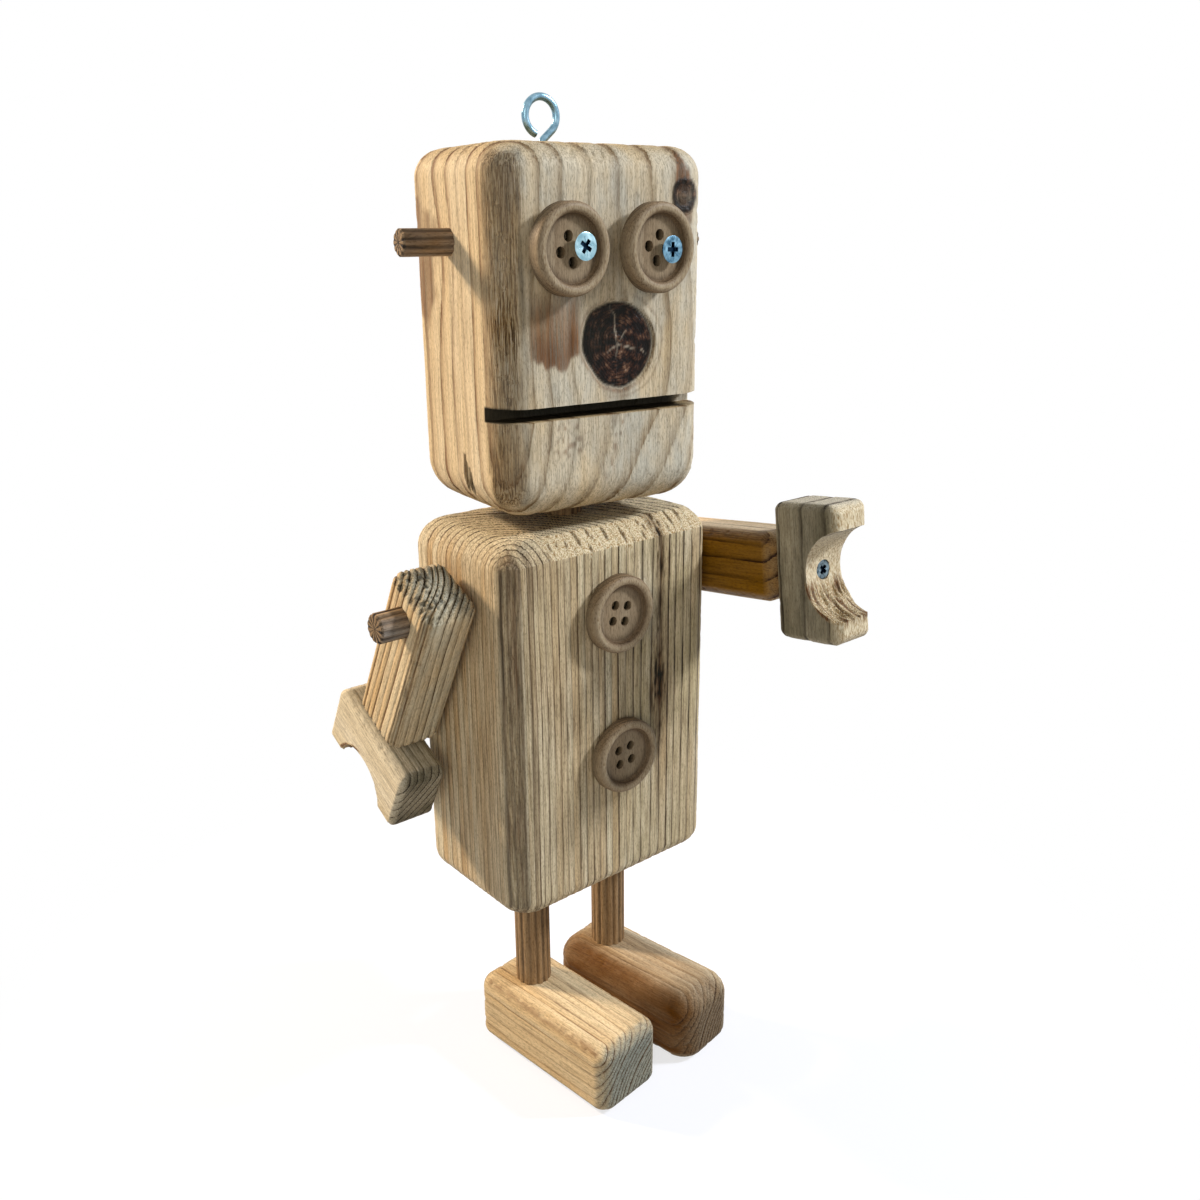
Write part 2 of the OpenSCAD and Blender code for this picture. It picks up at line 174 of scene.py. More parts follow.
# %% Sanded blocks
CORNER_STEPS = 12
CORNER_SHRINK, CORNER_LEAST = 0.7, 0.3
QUARTER = math.pi / 2


def sanded_block(size, radii, pitches, crisp=(2.0, 2.0, 2.0), front_top=None, corner_steps=CORNER_STEPS):
    """Block on z = 0 about the z axis. An outline point is k (half size - r) + c r: k slides along a side, and c
    turns round a corner, in corner_steps, on the curve (|cos|^(2/crisp), |sin|^(2/crisp)), where crisp = 2 is round
    and 1 a chamfer. The rows draw in on such a curve at the bottom and the top too, and the caps are the last
    outline scaled down to the middle. The front top edge may have its own radius and crispness, which fade into the
    others as the outline turns to the sides. Pitches are the steps along the front, the sides, the back and up."""
    width, depth, height = size
    edge_r, low_r, high_r = radii
    edge_crisp, low_crisp, high_crisp = crisp
    front_r, front_crisp = front_top or (high_r, high_crisp)
    front, side, rear, climb = pitches

    # The outline: each side's straight run, then the corner after it
    arc = np.linspace(0, QUARTER, corner_steps, endpoint=False)
    runs = []
    for i, (length, pitch) in enumerate([(width, front), (depth, side), (width, rear), (depth, side)]):
        turn = turned("z", 90 * i)[:2, :2].round()
        t = np.linspace(-1, 1, max(3, round((length - 2 * edge_r) / pitch)), endpoint=False)
        straight = np.stack([t, -np.ones_like(t)], -1) @ turn.T
        runs.append(np.hstack([straight, np.tile(turn @ [0, -1], (len(t), 1))]))
        angle = arc + (i - 1) * QUARTER
        both = np.stack([np.cos(angle), np.sin(angle)], -1)
        bent = np.sign(both) * np.abs(both) ** (2 / edge_crisp)
        runs.append(np.hstack([np.tile(turn @ [1, -1], (len(arc), 1)), bent]))
    k, c = np.split(np.vstack(runs), 2, axis=1)

    # The rows: lower cap, lower bend, wall, upper bend, upper cap
    ahead = np.clip(-c[:, 1], 0, 1)
    high_r = high_r + (front_r - high_r) * ahead
    high_crisp = high_crisp + (front_crisp - high_crisp) * ahead
    top_r = high_r.max()
    bend = np.linspace(0, QUARTER, CORNER_STEPS)[:, None]
    powers = (low_crisp + 0 * ahead, high_crisp)
    low_draw, high_draw = (1 - np.sin(bend) ** (2 / power) for power in powers)
    low_lift, high_lift = (1 - np.cos(bend) ** (2 / power) for power in powers)
    wall_rows = max(3, round((height - low_r - top_r) / climb))
    wall = np.linspace(low_r, height - top_r, wall_rows)[1:-1, None] + 0 * ahead
    cap_rows = [max(4, round((min(width, depth) / 2 - r) / climb)) for r in (low_r, top_r)]
    low_cap, high_cap = (np.linspace(0, 1, rows)[1:-1, None] + 0 * ahead for rows in cap_rows)
    high_cap = high_cap[::-1]
    inset = [0 * low_cap + low_r, low_r * low_draw, 0 * wall, high_r * high_draw[::-1], 0 * high_cap + high_r]
    inset = np.concatenate(inset)
    z = [0 * low_cap, low_r * low_lift, wall, height - high_r * high_lift[::-1], 0 * high_cap + height]
    z = np.concatenate(z)
    whole = np.ones((len(z) - len(low_cap) - len(high_cap), len(ahead)))
    scale = np.concatenate([low_cap, whole, high_cap])[..., None]
    r = np.clip(edge_r - CORNER_SHRINK * inset, CORNER_LEAST * edge_r, edge_r)[..., None]
    half = np.stack([width / 2 - inset, depth / 2 - inset], -1)
    return np.concatenate([scale * (k * (half - r) + c * r), z[..., None]], -1)


sample = sanded_block((40, 30, 20), (4, 3, 3), (1, 1, 1, 1))
print("a sample block has a grid of", sample.shape[:2], "and spans", np.ptp(sample, axis=(0, 1)).round(2))

# %% [markdown]
# A turned part is a profile carried round an axis, and a wire is a circle carried along a path.
# The ends of every grid are closed by one point each, so that every piece is one closed skin.

# %% Turned grids, wires and meshes


def turned_grid(profile, columns):
    """Profile of (radius, height) points carried round the z axis: (r cos a, r sin a, h)."""
    profile = np.asarray(profile, float)
    angle = np.linspace(0, 2 * math.pi, columns, endpoint=False)
    r, h = profile[:, :1], profile[:, 1:]
    return np.stack([r * np.cos(angle), r * np.sin(angle), h + 0 * angle], -1)


def wire_grid(path, radius, columns):
    """Circle carried along a path in the xz plane: path + r (cos a N + sin a Y), where N is the tangent turned a
    quarter."""
    tangent = np.gradient(path, axis=0)
    tangent /= np.linalg.norm(tangent, axis=1, keepdims=True)
    normal = np.stack([tangent[:, 2], 0 * tangent[:, 0], -tangent[:, 0]], -1)
    angle = np.linspace(0, 2 * math.pi, columns, endpoint=False)[:, None]
    ring = np.cos(angle) * normal[:, None, :] + np.sin(angle) * np.array([0.0, 1.0, 0.0])
    return path[:, None, :] + np.reshape(radius, (-1, 1, 1)) * ring


def grid_normals(grid):
    """Outward directions: the step along a row crossed with the step up a column, at length 1."""
    normal = np.cross(np.roll(grid, -1, 1) - np.roll(grid, 1, 1), np.gradient(grid, axis=0))
    return normal / np.maximum(np.linalg.norm(normal, axis=-1, keepdims=True), 1e-9)


def piece_of(name, grid, place):
    """Object whose mesh is the grid, put in its place and turned to metres, with one point closing each end."""
    rows, columns, _ = grid.shape
    points = np.vstack([grid[:1].mean(1), grid.reshape(-1, 3), grid[-1:].mean(1)])
    points = (points @ place[:3, :3].T + place[:3, 3]) * MM
    here = 1 + np.arange(rows * columns).reshape(rows, columns)
    beside = np.roll(here, -1, 1)
    quads = np.stack([here[:-1], beside[:-1], beside[1:], here[1:]], -1).reshape(-1, 4)
    low = np.stack([0 * here[0], beside[0], here[0]], -1)
    high = np.stack([0 * here[0] + rows * columns + 1, here[-1], beside[-1]], -1)
    mesh = bpy.data.meshes.new(name)
    mesh.from_pydata(points, [], quads.tolist() + low.tolist() + high.tolist())
    piece = bpy.data.objects.new(name, mesh)
    bpy.context.scene.collection.objects.link(piece)
    return piece


print("a sample peg has a grid of", turned_grid([(4, 0), (4, 30)], 48).shape[:2])

# %% [markdown]
# A saw cut, a drilled bore and a hand's grip are cuts, so they are made as cuts: another closed grid is taken away.
# Blender's Boolean modifier does that, and its result is kept as the piece's own mesh.

# %% Cuts
BORE_COLUMNS = 96


def cut(piece, cutters):
    """Takes the cutters' space out of the piece, and removes the cutters."""
    for cutter in cutters:
        taking = piece.modifiers.new("cut", "BOOLEAN")
        taking.operation = "DIFFERENCE"
        taking.solver = "MANIFOLD"
        taking.object = cutter
    bpy.context.view_layer.update()
    shaped = piece.evaluated_get(bpy.context.evaluated_depsgraph_get())
    mesh = bpy.data.meshes.new_from_object(shaped)
    piece.modifiers.clear()
    piece.data = mesh
    for cutter in cutters:
        bpy.data.objects.remove(cutter)
    print(piece.name, "cut to", len(mesh.polygons), "faces")


def bore(radius, length, place):
    """Cutter for a round hole that starts on z = 0 and runs up the z axis: a circle carried along it."""
    return piece_of("bore", turned_grid([(radius, 0), (radius, length)], BORE_COLUMNS), place)


print("a bore has", BORE_COLUMNS, "sides")

# %% [markdown]
# Pine grows a pale soft layer each spring and a dark hard line each summer, in shells round the tree's pith.
# A block shows the shells as straight lines, wide bands or arcs, all from one rule: how many rings lie between the
# pith and a point. That count is worked out here for each vertex, and both the relief and the colours read it.
# Knots push the rings aside, so the point is first drawn towards the knot before its rings are counted.
# No two years are alike, so the count is stretched a little here and there, and a few slow years lie close.

# %% Growth rings
KNOT_PUSH, KNOT_REACH, KNOT_ROUND = 0.82, 1.75, 0.8
WAVER_ACROSS, WAVER_ALONG = 14, 45
YEARS_ALIKE, YEARS_LUCK = 1.6, 0.3


def ring_count(points, plank):
    """ln(1 + growth d / width) / growth, with d the distance to the pith line, so that rings widen outwards. The
    slow years add rings on a tanh step, and the years' luck adds noise over the count itself."""
    grain = points[..., plank["axes"]].copy()
    for across, at, along, radius, (deep, start, stop) in plank.get("knots", ()):
        off = grain[..., across] - at
        reach = np.hypot(off, KNOT_ROUND * (grain[..., 2] - along)) / (KNOT_REACH * radius)
        near = smooth(grain[..., deep], start, stop)
        grain[..., across] -= off * KNOT_PUSH * near * np.exp(-reach * reach)
    pitch = (WAVER_ACROSS, WAVER_ACROSS, plank.get("wave", WAVER_ALONG))
    waver = plank["waver"] * lattice_noise(grain, pitch, plank["seed"])
    lean, below = plank.get("lean", (0.0, 0.0))
    side = grain[..., 0] - plank["pith"][0] + lean * np.minimum(grain[..., 2] - below, 0)
    distance = np.hypot(plank.get("squeeze", 1.0) * side, grain[..., 1] - plank["pith"][1]) + waver
    width, growth = plank["ring"]
    count = np.log1p(growth * np.maximum(distance, 0) / width) / growth + plank.get("start", 0.0)
    middle, spread, extra = plank.get("slow", (0.0, 1.0, 0.0))
    count = count + extra * np.tanh((distance - middle) / spread)
    year = np.stack([count, 0 * count, 0 * count], -1)
    return count + plank.get("luck", YEARS_LUCK) * lattice_noise(year, YEARS_ALIKE, plank["seed"] + 3)


def late_line(count):
    """0 in the pale wood, rising to 1 in the dark line that ends each ring."""
    part = count % 1.0
    return smooth(part, 0.5, 0.9) * (1 - smooth(part, 0.95, 1.0))


print("rings in 50 mm at 2 mm a ring:", round(float(np.log1p(1e-6 * 50 / 2) / 1e-6), 2))

# %% [markdown]
# The relief is carved into the grid before it becomes a mesh, because real dents catch the light at every angle.
# Sandpaper leaves slow hollows, the soft spring wood wears below the hard lines, most of all on end grain, and the
# edges get small nicks. What belongs to one block alone, such as a knot or a torn edge, comes from its marks.

# %% Carving
SANDING_PITCH, FIBRE_PITCH, NICK_PITCH = 22, (0.9, 0.9, 7), 1.5
NICK_DEPTH = 0.35


def no_marks(points, normals):
    """A clear plank: no stain, rough edge, knot, dark mark or painted shade, bare patch or hollow."""
    none = np.zeros(points.shape[:-1])
    return {"stain": none, "rough": none, "knot": none, "dark": none, "bare": none, "hollow": none}


def carve(grid, plank):
    """Moves a grid inwards along its normals by the sum of sanding noise, ring relief, nicks along the edges and
    hollows. The relief is deeper on end grain and torn edges, and shallower where an edge is bare."""
    seed, axes = plank["seed"], plank["axes"]
    normals = grid_normals(grid)
    marks = plank["marks"](grid, normals)
    end = np.abs(normals[..., axes[2]])
    sanding = plank["sanding"] * depth_noise(grid, SANDING_PITCH, seed + 7)
    fibres = depth_noise(grid[..., axes], FIBRE_PITCH, seed + 9)
    lines = late_line(ring_count(grid, plank)) * (1 + plank.get("end_depth", 1.0) * end)
    relief = plank["relief"] * (lines + 0.5 * fibres) * (1 + 2 * marks["rough"]) * (1 - 0.7 * marks["bare"])
    edge = 1 - smooth(np.abs(normals).max(-1), 0.75, 0.97)
    chips = smooth(lattice_noise(grid, NICK_PITCH, seed + 5), 0.2, 0.65)
    nicks = plank.get("nicks", NICK_DEPTH) * edge * chips * (1 + 2 * marks["bare"])
    depth = sanding + relief + marks["hollow"] + nicks
    return grid - normals * depth[..., None]


print("a nick is usually up to", NICK_DEPTH, "mm deep")

# %% [markdown]
# The counts and marks become attributes of the mesh, which a material can read at every vertex.
# A few are enough: the ring count, the place along and across the grain, the marks, and each face's weathering.

# %% Attributes and finishing
SHARP_ANGLE = math.radians(38)


def read(items, field):
    """One row of three numbers for each of a mesh's items."""
    flat = np.empty(len(items) * 3, np.float32)
    items.foreach_get(field, flat)
    return flat.reshape(-1, 3)


def points_of(mesh, place):
    """The vertices in mm, as they lay before the piece was put in its place: the place's move and turn undone."""
    return (read(mesh.vertices, "co") / MM - place[:3, 3]) @ place[:3, :3]


def keep(mesh, name, values):
    """Writes a number or a vector for each vertex as an attribute."""
    kind, slot = ("FLOAT", "value") if values.ndim == 1 else ("FLOAT_VECTOR", "vector")
    attribute = mesh.attributes.new(name, kind, "POINT")
    attribute.data.foreach_set(slot, np.ascontiguousarray(values, np.float32).ravel())


def dress(piece, plank, place):
    """Writes ring, grain (mm), marks (stain, rough, knot), faces (end grain, weather, dark) and bare on each
    vertex; dark is partly painted shade. Weather comes from the way a face looks, less where a mark lowers it, and
    inside a knot its own rings take the place of the plank's."""
    mesh = piece.data
    points = points_of(mesh, place)
    normals = read(mesh.vertex_normals, "vector") @ place[:3, :3]
    marks = plank["marks"](points, normals)
    rings = plank.get("count", ring_count)(points, plank)
    if "knot_rings" in marks:
        inside = np.clip(marks["knot"], 0, 1)
        rings = rings * (1 - inside) + marks["knot_rings"] * inside
    end = normals[:, plank["axes"][2]] ** 2
    facing = np.clip(normals @ np.asarray(plank["weather"], float), 0, 1)
    weather = facing * (1 - marks.get("less_greyed", 0.0))
    keep(mesh, "ring", rings)
    keep(mesh, "grain", points[:, plank["axes"]])
    keep(mesh, "marks", np.stack([marks["stain"], marks["rough"], marks["knot"]], -1))
    keep(mesh, "faces", np.stack([end, weather, marks["dark"]], -1))
    keep(mesh, "bare", marks["bare"])


def settle(piece, body, node, slot, material):
    """Gives a piece its shading, material, body and CAD node. The slot is not used."""
    mesh = piece.data
    mesh.shade_smooth()
    mesh.set_sharp_from_angle(angle=SHARP_ANGLE)
    mesh.materials.clear()
    mesh.materials.append(material)
    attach(piece, body)
    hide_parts(node)
    low, high = np.array(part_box(node)) / MM
    corners = np.array(piece.bound_box) / MM
    room = np.concatenate([corners.min(0) - low, high - corners.max(0)])
    print(f"{piece.name}: {len(mesh.polygons)} faces, inside its CAD node's box by", room.round(2).tolist(), "mm")


def pine_piece(name, block, plank, place, cutters, *settings):
    """A block that is carved, put in its place, cut, dressed and settled with body, node and material."""
    piece = piece_of(name, carve(block, plank), place)
    if cutters:
        cut(piece, cutters)
    dress(piece, plank, place)
    settle(piece, *settings)


print("sharp edges from", round(math.degrees(SHARP_ANGLE)), "degrees")

# %% [markdown]
# Colours are written as sRGB hex values, as a paint chart gives them, and Blender's shaders want linear light.
# One function turns the one into the other, and one function adds a node with its settings and links,
# so that each material below reads as a list of what it is made of.

# %% Colours and nodes


def linear(colour):
    """Linear light of an sRGB hex value: c / 12.92 up to 0.04045, and ((c + 0.055) / 1.055)^2.4 above it."""
    c = np.array([int(colour[i:i + 2], 16) for i in (1, 3, 5)]) / 255
    return (*np.where(c <= 0.04045, c / 12.92, ((c + 0.055) / 1.055) ** 2.4).tolist(), 1.0)


def add(tree, kind, settings=(), inputs=(), out=0):
    """Adds a node and gives its output. Settings are its properties, or stops for a ramp's (place, hex) pairs, and
    inputs are values or links."""
    made = tree.nodes.new(kind)
    for name, value in dict(settings).items():
        if name == "stops":
            ramp = made.color_ramp.elements
            while len(ramp) < len(value):
                ramp.new(1.0)
            for stop, (place, colour) in zip(ramp, value):
                stop.position, stop.color = place, linear(colour)
        else:
            setattr(made, name, value)
    for key, value in dict(inputs).items():
        if isinstance(value, bpy.types.NodeSocket):
            tree.links.new(value, made.inputs[key])
        else:
            made.inputs[key].default_value = value
    return None if out is None else made.outputs[out]


def empty_material(name):
    """Material with no nodes yet, and its tree."""
    material = bpy.data.materials.new(name)
    material.use_nodes = True
    material.node_tree.nodes.clear()
    return material, material.node_tree


print("mid grey in linear light:", round(linear("#808080")[0], 3))

# %% [markdown]
# Pine that has been sanded and oiled is pale with a dark line at the end of each ring, streaked by its fibres.
# Where it has stood in the weather it goes grey green, end grain drinks more oil and goes dark and pitted,
# knots are hard, dark and shiny with resin, stains follow the fibres, and a rough edge is torn into threads.
# All of that is one recipe, and the blocks, dowels and buttons differ in its colours and sizes.
# The ring count comes from the mesh, so the colour lines lie in the carved lines.
# Real fibres are 0.03 mm wide, too fine to show here, so bundles of them are drawn, 0.3 to 0.7 mm wide.

# %% Wood
FADE_STOPS = [(0.4, "#000000"), (0.6, "#a0a0a0")]
SHADE_STOPS = [(0.3, "#948a7e"), (0.5, "#e4e1dc"), (0.66, "#ffffff")]
FUZZ_STOPS = [(0.34, "#75695a"), (0.48, "#f4f2ee"), (0.6, "#ffffff")]
SANDED_STOPS = [(0.4, "#a8824f"), (0.52, "#e2cfa4"), (0.66, "#f0e4c6")]
STAIN_STOPS = [(0.38, "#40240f"), (0.52, "#6a4426"), (0.64, "#8b6340")]
THREAD_STOPS = [(0.36, "#3a2a18"), (0.45, "#94794f"), (0.53, "#e8dcc4"), (0.62, "#ffffff")]
KNOT_STOPS = [(0.4, "#0c0705"), (0.5, "#2a1811"), (0.58, "#4b3224"), (0.68, "#785a44"), (0.84, "#b09277")]
# The cracks' colour is a painted highlight; the other is for dark marks and painted shade.
CRACK_HIGHLIGHT_COLOUR, DARK_MARK_AND_SHADE_COLOUR = "#dccab0", "#16170f"
WOOD_IOR, WOOD_SPECULAR, RESIN_ROUGHNESS = 1.5, 0.12, 0.36
MIX, MATH, RAMP = "ShaderNodeMix", "ShaderNodeMath", "ShaderNodeValToRGB"
FIELD, RANGE = "ShaderNodeAttribute", "ShaderNodeMapRange"
TIMES, TIMES_PLUS = {"operation": "MULTIPLY"}, {"operation": "MULTIPLY_ADD"}
BLEND = {"data_type": "RGBA", "clamp_factor": True}
DARKEN = {**BLEND, "blend_type": "MULTIPLY"}


def wood(name, early, tint, late, grey, worn, ends, fibre, rise, line, streaky=0.6, bump=0.25, roughness=0.6,
         fray=0.18, cover="#404040"):
    """Wood of two pale colours and a line colour, the weathered pale and line colours and the end-grain colour,
    with its fibres' width and length in mm, the part of a ring where the dark line starts to rise, the line's
    strength on sheltered and on weathered faces, the streaks' strength, the bump's depth in mm, the roughness,
    how far, in rings, the fibres fray the line, and the grey of the thinnest weathering."""
    material, tree = empty_material(name)
    numbers, vectors = ("ring", "bare"), ("grain", "marks", "faces")
    ring, bare = (add(tree, FIELD, {"attribute_name": of}, {}, "Fac") for of in numbers)
    grain, marks, faces = (add(tree, FIELD, {"attribute_name": of}, {}, "Vector") for of in vectors)
    stain, rough, knot = add(tree, "ShaderNodeSeparateXYZ", {}, {0: marks}).node.outputs
    end, weather, dark = add(tree, "ShaderNodeSeparateXYZ", {}, {0: faces}).node.outputs

    def pattern(width, length, detail):
        """Noise over the place along the grain in mm, divided by the width across it and the length along it."""
        place = add(tree, "ShaderNodeVectorMath", TIMES, {0: grain, 1: (1 / width, 1 / width, 1 / length)})
        scale = {"Vector": place, "Scale": 1.0, "Detail": detail, "Roughness": 0.62}
        return add(tree, "ShaderNodeTexNoise", {}, scale)

    streak, speck = pattern(*fibre, 4.0), pattern(0.34, 1.3, 2.0)
    torn, blotch, mottle = pattern(0.34, 8.0, 4.0), pattern(11.0, 30.0, 3.0), pattern(2.2, 2.2, 3.0)

    # The ring line wavers with the fibres, and each ring has its own luck in colour and darkness
    wavering = add(tree, MATH, TIMES_PLUS, {0: streak, 1: fray, 2: ring})
    part = add(tree, MATH, {"operation": "FRACT"}, {0: wavering})
    index = add(tree, MATH, {"operation": "FLOOR"}, {0: wavering})
    luck = add(tree, "ShaderNodeTexWhiteNoise", {"noise_dimensions": "1D"}, {"W": index})
    half = 0.44 + rise / 2
    line_stops = [(0.0, "#b0b0b0"), (0.04, "#000000"), (rise, "#080808"), (half, "#606060"), (0.95, "#ffffff")]
    lines = add(tree, RAMP, {"stops": line_stops}, {0: part})

    # It is as strong as the weather and its luck make it, stronger on end grain, and it fades here and there
    power = add(tree, RANGE, {}, {0: weather, 3: line[0], 4: line[1]})
    strong = add(tree, MATH, TIMES_PLUS, {0: luck, 1: 0.7, 2: 0.4})
    power = add(tree, MATH, TIMES, {0: power, 1: strong})
    power = add(tree, MATH, TIMES_PLUS, {0: end, 1: 0.85, 2: power})
    faded = add(tree, RANGE, {}, {0: pattern(1.8, 16.0, 3.0), 1: 0.36, 2: 0.64, 3: 0.5, 4: 1.2})
    power = add(tree, MATH, TIMES, {0: power, 1: faded})
    drawn = add(tree, MATH, TIMES, {0: lines, 1: power})

    # Weather greys the pale wood in blotches, and end grain has its own colour
    broad = add(tree, RAMP, {"stops": FADE_STOPS}, {0: pattern(8.0, 90.0, 2.0)})
    warmth = add(tree, MATH, TIMES_PLUS, {0: luck, 1: 0.5, 2: broad})
    pale = add(tree, MIX, BLEND, {0: warmth, 6: linear(early), 7: linear(tint)}, 2)
    patches = add(tree, RAMP, {"stops": [(0.35, cover), (0.65, "#ffffff")]}, {0: blotch})
    greyed = add(tree, MATH, TIMES, {0: patches, 1: weather})
    pale = add(tree, MIX, BLEND, {0: end, 6: pale, 7: linear(ends)}, 2)
    pale = add(tree, MIX, BLEND, {0: greyed, 6: pale, 7: linear(grey)}, 2)
    aged = add(tree, MATH, TIMES_PLUS, {0: end, 1: 0.6, 2: weather})
    line_colour = add(tree, MIX, BLEND, {0: aged, 6: linear(late), 7: linear(worn)}, 2)
    colour = add(tree, MIX, BLEND, {0: drawn, 6: pale, 7: line_colour}, 2)

    # Fibres darken and lighten the whole in streaks, and sanding leaves a fuzz of short ones
    shade = add(tree, RAMP, {"stops": SHADE_STOPS}, {0: streak})
    fuzz = add(tree, RAMP, {"stops": FUZZ_STOPS}, {0: speck})
    fuzzy = add(tree, MATH, TIMES_PLUS, {0: end, 1: 0.4, 2: 0.4})
    layers = [(DARKEN, streaky, shade), (DARKEN, fuzzy, fuzz)]

    # Freshly sanded edges are bare and pale, with short golden dashes
    layers.append((BLEND, bare, add(tree, RAMP, {"stops": SANDED_STOPS}, {0: speck})))

    # Stains follow the fibres, and a rough edge is torn into dark and pale threads
    soaked = add(tree, MATH, TIMES_PLUS, {0: shade, 1: 0.6, 2: 0.4})
    stained = add(tree, MATH, TIMES, {0: stain, 1: soaked})
    layers.append((BLEND, stained, add(tree, RAMP, {"stops": STAIN_STOPS}, {0: streak})))
    layers.append((DARKEN, rough, add(tree, RAMP, {"stops": THREAD_STOPS}, {0: torn})))

    # A knot has mottled dark rings, cracks get a pale painted highlight, dark marks and painted shade are nearly
    # black
    knot_tone = add(tree, MATH, TIMES_PLUS, {0: lines, 1: -0.1, 2: mottle})
    layers.append((BLEND, knot, add(tree, RAMP, {"stops": KNOT_STOPS}, {0: knot_tone})))
    # The cracks' pale colour is a painted highlight along their edges.
    crack = add(tree, MATH, {"operation": "SUBTRACT", "use_clamp": True}, {0: knot, 1: 1.0})
    layers += [(BLEND, crack, linear(CRACK_HIGHLIGHT_COLOUR)), (BLEND, dark, linear(DARK_MARK_AND_SHADE_COLOUR))]
    for way, strength, over in layers:
        colour = add(tree, MIX, way, {0: strength, 6: colour, 7: over}, 2)

    # Heights in the same order: lines and pits sink, fibres and torn threads stand up, knots are lumpy
    height = add(tree, MATH, TIMES_PLUS, {0: drawn, 1: -0.6, 2: streak})
    pitted = add(tree, MATH, TIMES_PLUS, {0: end, 1: 0.6, 2: 0.5})
    height = add(tree, MATH, TIMES_PLUS, {0: speck, 1: pitted, 2: height})
    for bumps, where in ((torn, rough), (mottle, knot)):
        lumps = add(tree, MATH, TIMES, {0: bumps, 1: where})
        height = add(tree, MATH, TIMES_PLUS, {0: lumps, 1: 2.2, 2: height})
    normal = add(tree, "ShaderNodeBump", {}, {"Strength": 0.8, "Distance": bump * MM, "Height": height})
    shine = add(tree, RANGE, {}, {0: knot, 3: roughness, 4: RESIN_ROUGHNESS})
    finish = {"Base Color": colour, "Roughness": shine, "Normal": normal}
    finish.update({"IOR": WOOD_IOR, "Specular IOR Level": WOOD_SPECULAR})
    surface = add(tree, "ShaderNodeBsdfPrincipled", {}, finish)
    add(tree, "ShaderNodeOutputMaterial", {}, {"Surface": surface}, None)
    print("made", name, "with", len(tree.nodes), "nodes")
    return material


print("the recipe's knot runs through", len(KNOT_STOPS), "browns")

# %% [markdown]
# The toy's wood came from many offcuts, so the recipe is used eight times, two of them with painted shade.
# The colours are, in order, two of the pale wood, one of the line, then the pale wood and the line where they are
# weathered or oiled, and the end grain. After them come the fibres' size, the line's rise and its strengths.

# %% Finishes of wood
# Wide pale bands with warm brown lines, silvery and faint on the face that stood in the light
head_pine = wood("head_pine", "#f0dfbd", "#e4c99a", "#74461f", "#dad4c0", "#8a7250", "#d9bd8c",
                 (0.7, 16), 0.36, (0.72, 0.68), streaky=0.55, fray=0.09)
# Close, streaky grain: straw grey between lines that are nearly black on the front and soft on the sides
torso_pine = wood("torso_pine", "#f2e6c6", "#d4b07c", "#5a3f22", "#cebd94", "#2c1d0c", "#f2e2bc",
                  (0.5, 14), 0.54, (0.55, 1.6), streaky=0.85, bump=0.3)
# Plain sanded bars: cream with clear brown lines, and grey green on the end grain
limb_pine = wood("limb_pine", "#f0dcb4", "#e0ba80", "#7a4a20", "#dcd4b8", "#4a3a22", "#969a8e",
                 (0.5, 12), 0.6, (0.9, 1.15))
# Deep brown on the faces its weather names, which is painted shade and hides most of the lines
shade_painted_pine = wood("shade_painted_pine", "#f2e0bc", "#dcb680", "#6b4018", "#6e4206", "#2a1402", "#8f7f66",
                  (0.5, 12), 0.6, (0.6, 0.5), cover="#e8e8e8")
# A coat of oil stays on top, a little glossy; the honey brown of the face its weather names is painted shade
glossy_shade_painted_pine = wood("glossy_pine_with_painted_shade", "#f2e0bc", "#dcb680", "#6b4018", "#946608", "#3a1e02", "#8f7f66",
                  (0.5, 12), 0.6, (0.6, 0.9), roughness=0.45, cover="#fafafa")
# Fresh pale wood with thin lines where it was cut last, and dirty grey on the old faces, darkened as painted shade
hand_pine = wood("hand_pine", "#f8ecd0", "#ecdab2", "#6d5433", "#66614b", "#241c10", "#efe3c8",
                 (0.5, 10), 0.75, (0.35, 1.0), cover="#c4c4c4")
# Dowel stained brown: nearly black in the grooves and tan on the ridges
stained_dowel = wood("stained_dowel", "#c4a57c", "#86623a", "#24170f", "#a8a49c", "#3c342c", "#b09470",
                     (0.45, 10), 0.2, (1.4, 1.1), streaky=0.7, bump=0.2)
# Turned, dense wood: an even greyish tan with hardly any lines and a silky skin
turned_button = wood("turned_button", "#a9977b", "#958063", "#6f5a44", "#8f8670", "#6f6350", "#9a8060",
                     (0.35, 5), 0.4, (0.3, 0.3), streaky=0.5, bump=0.1, roughness=0.5)

# %% [markdown]
# The screws and the screw eye are zinc-plated steel: a thin bright bluish metal coat with a slight haze.
# A metal shows mostly what is round it, so it keeps a plain colour, and a fine noise breaks its gloss.
# A cross recess is painted dark as shade, and older plating is duller and more patchy.
# The hand screws' plating is darker still, as painted shade.

# %% Zinc-plated steel
HAZE_SIZE = 1.5
HAZE_GLOSS = (0.2, 0.42)
RECESS_SHADE_COLOUR = "#1b3045"


